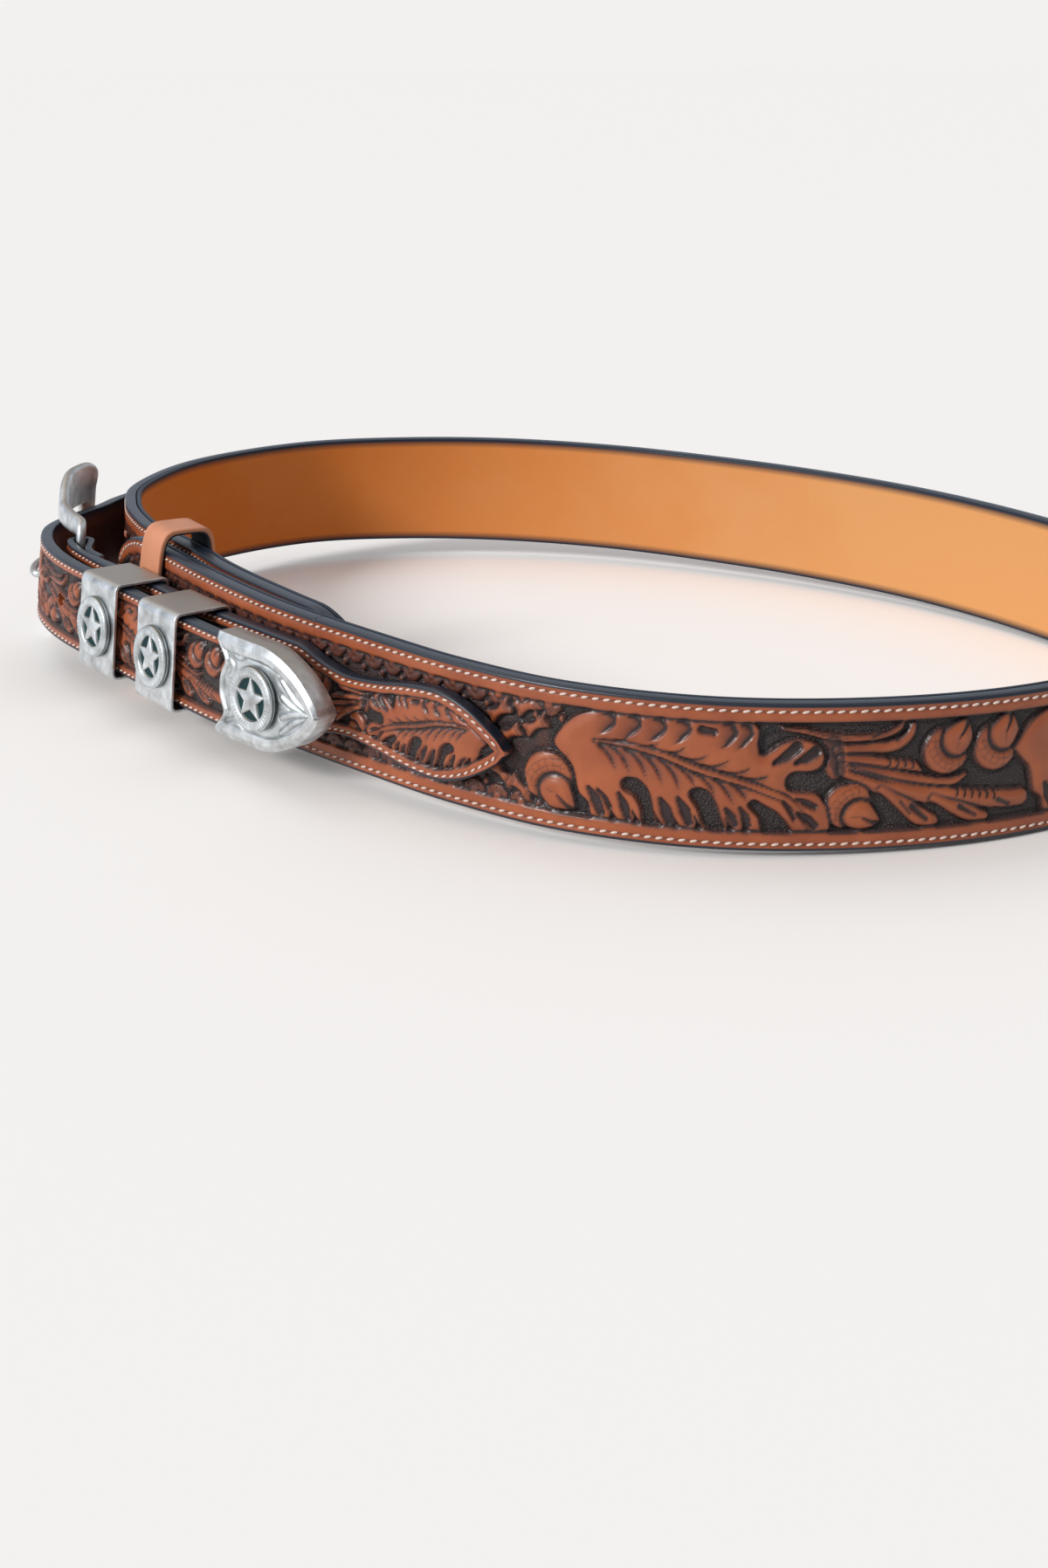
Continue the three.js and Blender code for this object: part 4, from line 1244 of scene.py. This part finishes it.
def metalKeepers():
    wall, reach = metalKeeper["wall"], metalKeeper["length"] / 2
    faces = []
    for i, station in enumerate(keeperAt):
        back = buckleInner(station) - seat - metalKeeper["ease"]
        front = tipInner(station) + billet["thickness"] + metalKeeper["slack"]
        rise = sum(inner(station + reach) - inner(station - reach) for inner in (tipInner, buckleInner))
        spot = flatPlace(station, -math.atan(rise / 2 / metalKeeper["length"]))
        inside = metalKeeper["corner"] - wall
        tall = billet["width"] + 4 * seat
        middles, outs = boxTrack(front - back - 2 * inside, tall - 2 * inside, 5)
        section = roundedBox(metalKeeper["length"], wall, metalKeeper["edge"], 3)
        far = (section[:, 1] + wall / 2 + inside)[None]
        out = (front + back) / 2 + middles[:, :1] + outs[:, :1] * far
        up = middle + middles[:, 1:] + outs[:, 1:] * far
        points = spot(section[:, 0][None], out, up)
        mesh = gridMesh(f"silver_keeper_{i + 1}", points, {"dark": 0.0}, ring=True)
        finishPiece(mesh.name, mesh, silver, [f"keeper_{i + 1}"])
        faces.append((spot, front + wall))
    return faces


# Star studs: a ring with an engraved edge round a five-pointed star, over a dark plate

stud = {
    "radius": 8.9,
    "height": 1.8,
    "plate": 0.7,
    "ringInner": 0.66,
    "notch": 0.46,
    "ticks": 44,
    "bevel": 0.35,
}


def starStud(name, spot, node):
    radius, ringInner = stud["radius"], stud["radius"] * stud["ringInner"]
    bevel = stud["bevel"]
    rim = radius - bevel
    r = np.r_[np.linspace(0, rim, 56), rim + bevel * np.sin(np.radians([25, 50, 75, 90]))]
    turn = np.radians(np.linspace(0, 360, 201))[:, None]
    x, y = r * np.cos(turn), r * np.sin(turn)
    corners = np.radians(90 + 36 * np.arange(11))
    reach = ringInner * np.where(np.arange(11) % 2, stud["notch"], 1.06)
    star = np.stack([reach * np.cos(corners), reach * np.sin(corners)], axis=1)
    inStar = blobField(x, y, star)
    inRing = np.minimum(r - ringInner, radius - r) + 0 * turn
    top, plate = stud["height"], stud["plate"]
    ring = top - 0.25 * smooth(1 - inRing / 0.5)
    tick = 0.5 + 0.5 * np.cos(turn * stud["ticks"])
    middleRing = (ringInner + radius) / 2
    ring = ring - 0.16 * (1 - tick) * np.exp(-(((r - middleRing) / 0.75) ** 4))
    ring = ring - 0.18 * np.exp(-(((np.abs(r - middleRing) - 1.05) / 0.16) ** 2))
    height = plate + (ring - plate) * smooth(inRing / 0.3 + 0.4)
    raised = plate + 0.75 + np.minimum(inStar, 1.4) * 0.22
    height = np.maximum(height, plate + (raised - plate) * smooth(inStar / 0.3 + 0.5))
    height = height - top * 0.16 * np.clip((r - rim) / bevel, 0, 1) ** 2
    sunk = smooth((plate + 0.5 - height) / 0.3)
    darkening = 0.3 * np.exp(-(((np.abs(r - middleRing) - 1.05) / 0.2) ** 2))
    darkening = darkening + 0.15 * (1 - tick) * (inRing > 0.4)
    dark = np.clip(np.maximum(sunk, darkening * (inRing > 0)), 0, 1)
    sides = np.array([0.6, 0.12, 0])
    grow = lambda values, more: np.hstack([values, np.broadcast_to(more, (len(turn), len(more)))])
    backRadius = np.array([radius, radius, radius - 0.1, 0])
    x = grow(x, [0, 0, 0, 0]) + grow(0 * x, backRadius) * np.cos(turn)
    y = grow(y, [0, 0, 0, 0]) + grow(0 * y, backRadius) * np.sin(turn)
    height = grow(height, [*sides, 0])
    points = spot(x, height, y)
    mesh = gridMesh(name, points.transpose(1, 0, 2), {"dark": grow(dark, [0.3, 0.6, 0.6, 0.6]).T})
    finishPiece(name, mesh, silver, [node])


# Belt tip: a pointed cap with a bracket-shaped mouth, engraved with a fan and scrolls

tipMouth = [
    (-1, 0), (-0.8, 0.1), (-0.6, 0.27), (-0.48, 0.31), (-0.34, 0.24), (-0.16, 0.175), (0, 0.165),
    (0.16, 0.175), (0.34, 0.24), (0.48, 0.31), (0.6, 0.27), (0.8, 0.1), (1, 0),
]
tipOutline = [
    (0, 1), (0.42, 1), (0.55, 0.955), (0.68, 0.83), (0.8, 0.64), (0.9, 0.4), (0.97, 0.16), (1, 0),
]
tipScrolls = [  # points from the mouth and the middle line, and half widths; each is made on both sides
    ([(38.6, 0.6), (33, 3), (28, 7.2)], (0.4, 0.8, 0.9)),
    ([(37.6, 2), (33, 5.4), (27.4, 9.6)], (0.4, 0.8, 0.8)),
    ([(38.4, 0), (32.5, 0.8), (28, 2.6)], (0.4, 0.8, 0.8)),
    ([(5, 10.6), (10, 9.4), (13, 10.6), (19, 10.9)], (0.5, 0.8, 0.7, 0.3)),
    ([(4.6, 8.4), (7.4, 6.6), (7.2, 4), (5.6, 3.2)], (0.4, 0.9, 0.8, 0.4)),
    ([(22, 10.6), (26, 10.8), (29, 8.6)], (0.3, 0.7, 0.4)),
]


def carveTip(x, up, inset):
    tool = Tooling(x, up, tip["field"])
    tool.matted[:] = 0
    tool.moveTo(tipAt, middle)
    for points, widths in tipScrolls:
        for side in (1, -1):
            line = [(px, py * side) for px, py in points]
            tool.stroke(line, widths, top=-0.12, dome=0.2, moat=0.22)
    every = slice(None)
    tool.lift(every, tip["rim"] + 0.5 - inset, 0.0, 0.3, 0.25, 0.5)
    mouth = x - tipAt - (billetHalf + 2 * seat + tip["wall"]) * through(tipMouth, (up - middle) / 14)
    tool.lift(every, 1.1 - mouth, 0.0, 0.35, 0.25, 0.5)
    return tool


def beltTip():
    half = billetHalf + 2 * seat + tip["wall"]
    centre = tipInner(tipAt + tip["length"] / 2) + billet["thickness"] / 2

    def shell(shrink, cells, rows):
        wide, deep = half - shrink, tip["depth"] / 2 - shrink
        bevel = max(tip["bevel"] - shrink, 0.3)
        rim = max(tip["rim"] - shrink, 0.3)
        flat = wide - rim
        face = np.linspace(-flat, flat, cells)
        slant = [(flat + rim * s, deep - bevel * s, 0) for s in (0.06, 0.94, 1)]
        wall = [(wide, z, 0) for z in (deep - bevel - 0.1, 0, -deep + 0.6)]
        down = slant + wall + [(wide - 0.6, -deep, 0)]
        around = [(y, deep, 1) for y in face] + down
        around += [(-y, z, 0) for y, z, _ in down[::-1]] + [(-flat, deep, 1)]
        side, level, front = np.array(around, float).T
        share = 1 - (1 - np.linspace(0, 1, rows)) ** 1.15
        outline = wide * through(tipOutline, share)[:, None]
        mouth = half * through(tipMouth, np.clip(side / wide, -1, 1))
        x = mouth * (1 - share[:, None]) + (tip["length"] - shrink) * share[:, None]
        fromEdge = wide - np.abs(side)
        y = np.sign(side) * np.maximum(outline - fromEdge, 0)
        return tipAt + x, y, np.broadcast_to(level, y.shape).copy(), front

    x, y, level, front = shell(0, 76, 120)
    run = np.gradient(np.abs(y[:, 0])) / np.gradient(x[:, 0])
    inset = (np.abs(y[:, :1]) - np.abs(y)) / np.sqrt(1 + run[:, None] ** 2)
    tool = carveTip(x, middle + y, inset)
    level = level + tool.height * front
    dark, _ = readTool(tool, 4, 4)
    innerX, innerY, innerLevel, _ = shell(tip["wall"], 76, 12)
    x, y = np.vstack([x[::-1], innerX]), np.vstack([y[::-1], innerY])
    level = np.vstack([level[::-1], innerLevel])
    dark = np.vstack([(dark * 0.55 * front)[::-1], np.full(innerX.shape, 0.8)])
    mesh = gridMesh("silver_tip", place(x, centre + level, middle + y), {"dark": dark})
    finishPiece("silver_tip", mesh, silver, ["belt_tip"])


# Buckle: a flared frame whose heel is its bar, and a wire tongue curled round the bar

frameLength = barAt - toeAt + 2 * buckle["bar"]
flare = [
    (0, -0.3), (0.02, 0.04), (0.07, 0.2), (0.22, 0.28), (0.4, 0.38), (0.54, 0.76), (0.66, 0.97),
    (0.8, 1), (0.93, 0.93), (1, 0.62), (0.985, 0.1),
]


def frameOut(fromHeel):
    share = np.clip((fromHeel - 2 * buckle["bar"]) / (frameLength - 2 * buckle["bar"]), 0, 1)
    return buckle["barOut"] + buckle["bow"] * np.sin(np.pi * share) + buckle["toeOut"] * share


def rayLength(outline, middleAt, angle):
    start, run = outline - [middleAt, 0], np.roll(outline, -1, axis=0) - outline
    c, s = math.cos(angle), math.sin(angle)
    cross = c * run[:, 1] - s * run[:, 0]
    with np.errstate(divide="ignore", invalid="ignore"):
        far = (start[:, 0] * run[:, 1] - start[:, 1] * run[:, 0]) / cross
        share = (start[:, 0] * s - start[:, 1] * c) / cross
    return far[(far > 0) & (share >= -1e-9) & (share <= 1 + 1e-9)].min()


def buckleFrame():
    heel = buckle["heelHeight"] / 2
    rise = buckle["height"] / 2 - heel
    half = np.array(flare) * [frameLength, rise] + [0, heel]
    upper = curveThrough(half, 10)
    outline = np.vstack([upper, (upper * [1, -1])[::-1]])
    inside = [2 * buckle["bar"], frameLength - buckle["toeBar"]]
    opening = roundedBox(inside[1] - inside[0], billet["width"] + 4 * seat, buckle["corner"], 5)
    opening = opening[:-1] + [sum(inside) / 2, 0]
    centre = frameLength / 2
    rows = []
    for turn in np.radians(np.arange(0, 362, 2.0)):
        near, far = rayLength(opening, centre, turn), rayLength(outline, centre, turn)
        section = roundedBox(far - near, buckle["thickness"], 1.3, 5)
        reach = (near + far) / 2 + section[:, 0]
        crown = 0.35 * (1 - (2 * section[:, 0] / (far - near)) ** 2) * np.sign(section[:, 1])
        fromHeel = centre + reach * math.cos(turn)
        level = section[:, 1] * 0.9 + crown * min(1, (far - near) / 9)
        at = barAt + buckle["bar"] - fromHeel
        rows.append(place(at, frameOut(fromHeel) + level, middle + reach * math.sin(turn)))
    mesh = gridMesh("buckle_frame_cast", np.array(rows), {"dark": 0.0}, ring=True)
    finishPiece("buckle_frame_cast", mesh, silver, ["buckle_frame"])


def tube(name, line, radius, around=16):
    run = np.gradient(line, axis=0)
    run /= np.linalg.norm(run, axis=1, keepdims=True)
    upward = np.array([0, 0, 1]) - run * run[:, 2:]
    upward /= np.linalg.norm(upward, axis=1, keepdims=True)
    aside = np.cross(run, upward)
    turn = np.radians(np.linspace(0, 360, around + 1))[None, :, None]
    radius = np.broadcast_to(radius, len(line))[:, None, None]
    points = line[:, None] + radius * (np.cos(turn) * upward[:, None] + np.sin(turn) * aside[:, None])
    return gridMesh(name, points, {"dark": 0.0})


def buckleTongue():
    r = buckle["tongue"]
    clear = buckle["bar"] + seat + r
    holeOut = tipInner(bulgeAt) + billet["thickness"] / 2
    barOut = buckle["barOut"]

    def onFrame(fromHeel, above):
        level = frameOut(fromHeel) + buckle["thickness"] / 2 + r + seat + above
        return (barAt + buckle["bar"] - fromHeel, level)

    line = [
        (barAt + clear * 0.75, barOut - clear * 0.66),
        (barAt, barOut - clear),
        (barAt - clear * 0.8, barOut - clear * 0.6),
        (barAt - clear, barOut + clear * 0.3),
        (bulgeAt + 0.3, holeOut - billet["thickness"]),
        (bulgeAt, holeOut),
        (bulgeAt - 0.5, holeOut + billet["thickness"] * 0.75),
        (bulgeAt - 8, tipInner(bulgeAt - 8) + billet["thickness"] + r + seat + 0.6),
        onFrame(frameLength * 0.6, 0.6),
        onFrame(frameLength - buckle["toeBar"], 0.1),
        onFrame(frameLength - buckle["toeBar"] / 2, 0),
        onFrame(frameLength - buckle["toeBar"] / 8, 0),
    ]
    spots = np.array([place(at, out, middle) for at, out in line])
    curve = curveThrough(spots / mm, 12) * mm
    gone = np.r_[0, np.cumsum(np.linalg.norm(np.diff(curve, axis=0), axis=1))] / mm
    fromEnd = np.minimum(gone, gone[-1] - gone)
    radius = r * np.sqrt(1 - np.clip(1 - fromEnd / r, 0, 0.999) ** 2)
    mesh = tube("wire_tongue", curve, radius * mm)
    finishPiece("wire_tongue", mesh, silver, ["buckle_tongue"])


leatherLoop()
for i, (spot, front) in enumerate(metalKeepers()):
    onKeeper = lambda x, out, y, spot=spot, front=front: spot(x, front + seat + out, middle + y)
    starStud(f"star_stud_silver_{i + 1}", onKeeper, f"star_stud_{i + 1}")
beltTip()
tipFace = tipInner(tipAt + tip["length"] / 2) + (billet["thickness"] + tip["depth"]) / 2
tipStudAt = tipAt + tip["length"] * 0.42
onTip = lambda x, out, y: place(tipStudAt + x, tipFace + seat + out, middle + y)
starStud("star_stud_silver_3", onTip, "star_stud_3")
buckleFrame()
buckleTongue()
print("metal and loop made")

# Floor, light and camera, as the photo was taken

shot = {
    "side": -33,
    "back": -650.7,
    "height": 201.5,
    "pitch": 20.47,
    "roll": 0.76,
    "focal": 2499,  # in the photo's own pixels
    "tall": 1796,
}


def setCamera():
    pitch, roll = math.radians(shot["pitch"]), math.radians(shot["roll"])
    right = np.array([1, 0, 0])
    ahead = np.array([0, math.cos(pitch), -math.sin(pitch)])
    above = np.array([0, math.sin(pitch), math.cos(pitch)])
    across = math.cos(roll) * right + math.sin(roll) * above
    upright = -math.sin(roll) * right + math.cos(roll) * above
    data = bpy.data.cameras.new("photo_camera")
    data.sensor_width = 36
    data.lens = shot["focal"] / shot["tall"] * data.sensor_width
    camera = addObject("photo_camera", data)
    axes = np.stack([tilt @ across, tilt @ upright, -(tilt @ ahead)], axis=1)
    camera.matrix_world = Matrix(axes.tolist()).to_4x4()
    camera.location = stand(np.array([shot["side"], shot["back"], shot["height"]]))
    bpy.context.scene.camera = camera


def softSun(name, towards, strength, spread):
    # towards points from the belt to the light
    data = bpy.data.lights.new(name, "SUN")
    data.energy = strength
    data.angle = math.radians(spread)
    light = addObject(name, data)
    light.rotation_euler = Vector(towards).to_track_quat("Z", "Y").to_euler()


studio = {
    "backdrop": (0.896, 0.88, 0.863),
    "floor": (0.915, 0.886, 0.855),
    "above": (0.6, 0.6, 0.61),
    "behind": (0.56, 0.65, 0.78),
    "infront": (0.16, 0.16, 0.165),
}


def floorPaint(where):
    return {"Base Color": (*studio["floor"], 1), "Roughness": 0.95, "Specular IOR Level": 0.1}


def setWorld():
    # Bluish behind the belt and to its left, plain above, dim in front; the camera sees plain paper
    world = bpy.data.worlds.new("studio")
    world.use_nodes = True
    bpy.context.scene.world = world
    Wire.tree = world.node_tree
    way = Wire.node("ShaderNodeTexCoord", {}, {})
    across, deep, high = (Wire.node("ShaderNodeSeparateXYZ", {}, {"Vector": way}, k) for k in range(3))
    sides = blend(deep * 0.5 - across * 0.35 + 0.5, studio["infront"], studio["behind"])
    sky = blend(high * 1.3, sides, studio["above"])
    seen = Wire.node("ShaderNodeLightPath", {}, {})
    colour = blend(seen, sky, studio["backdrop"])
    back = world.node_tree.nodes["Background"]
    world.node_tree.links.new(colour.socket, back.inputs["Color"])


def setStage():
    sheet = bmesh.new()
    bmesh.ops.create_grid(sheet, x_segments=1, y_segments=1, size=6)
    mesh = bpy.data.meshes.new("pale_floor")
    sheet.to_mesh(mesh)
    mesh.materials.append(material("pale_floor", floorPaint))
    floor = addObject("pale_floor", mesh)
    floor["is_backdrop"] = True
    setWorld()
    softSun("window_sun", (-0.5, 0.4, 0.85), 0.3, 44)
    softSun("front_sun", (-0.74, -0.5, 0.45), 2.5, 16)
    bpy.context.scene.view_settings.view_transform = "Standard"


setCamera()
setStage()
print("camera and stage set")

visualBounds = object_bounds()
boxes = {"cad": cadBounds, "visual": visualBounds}
{name: [list(corner) for corner in box] for name, box in boxes.items()}
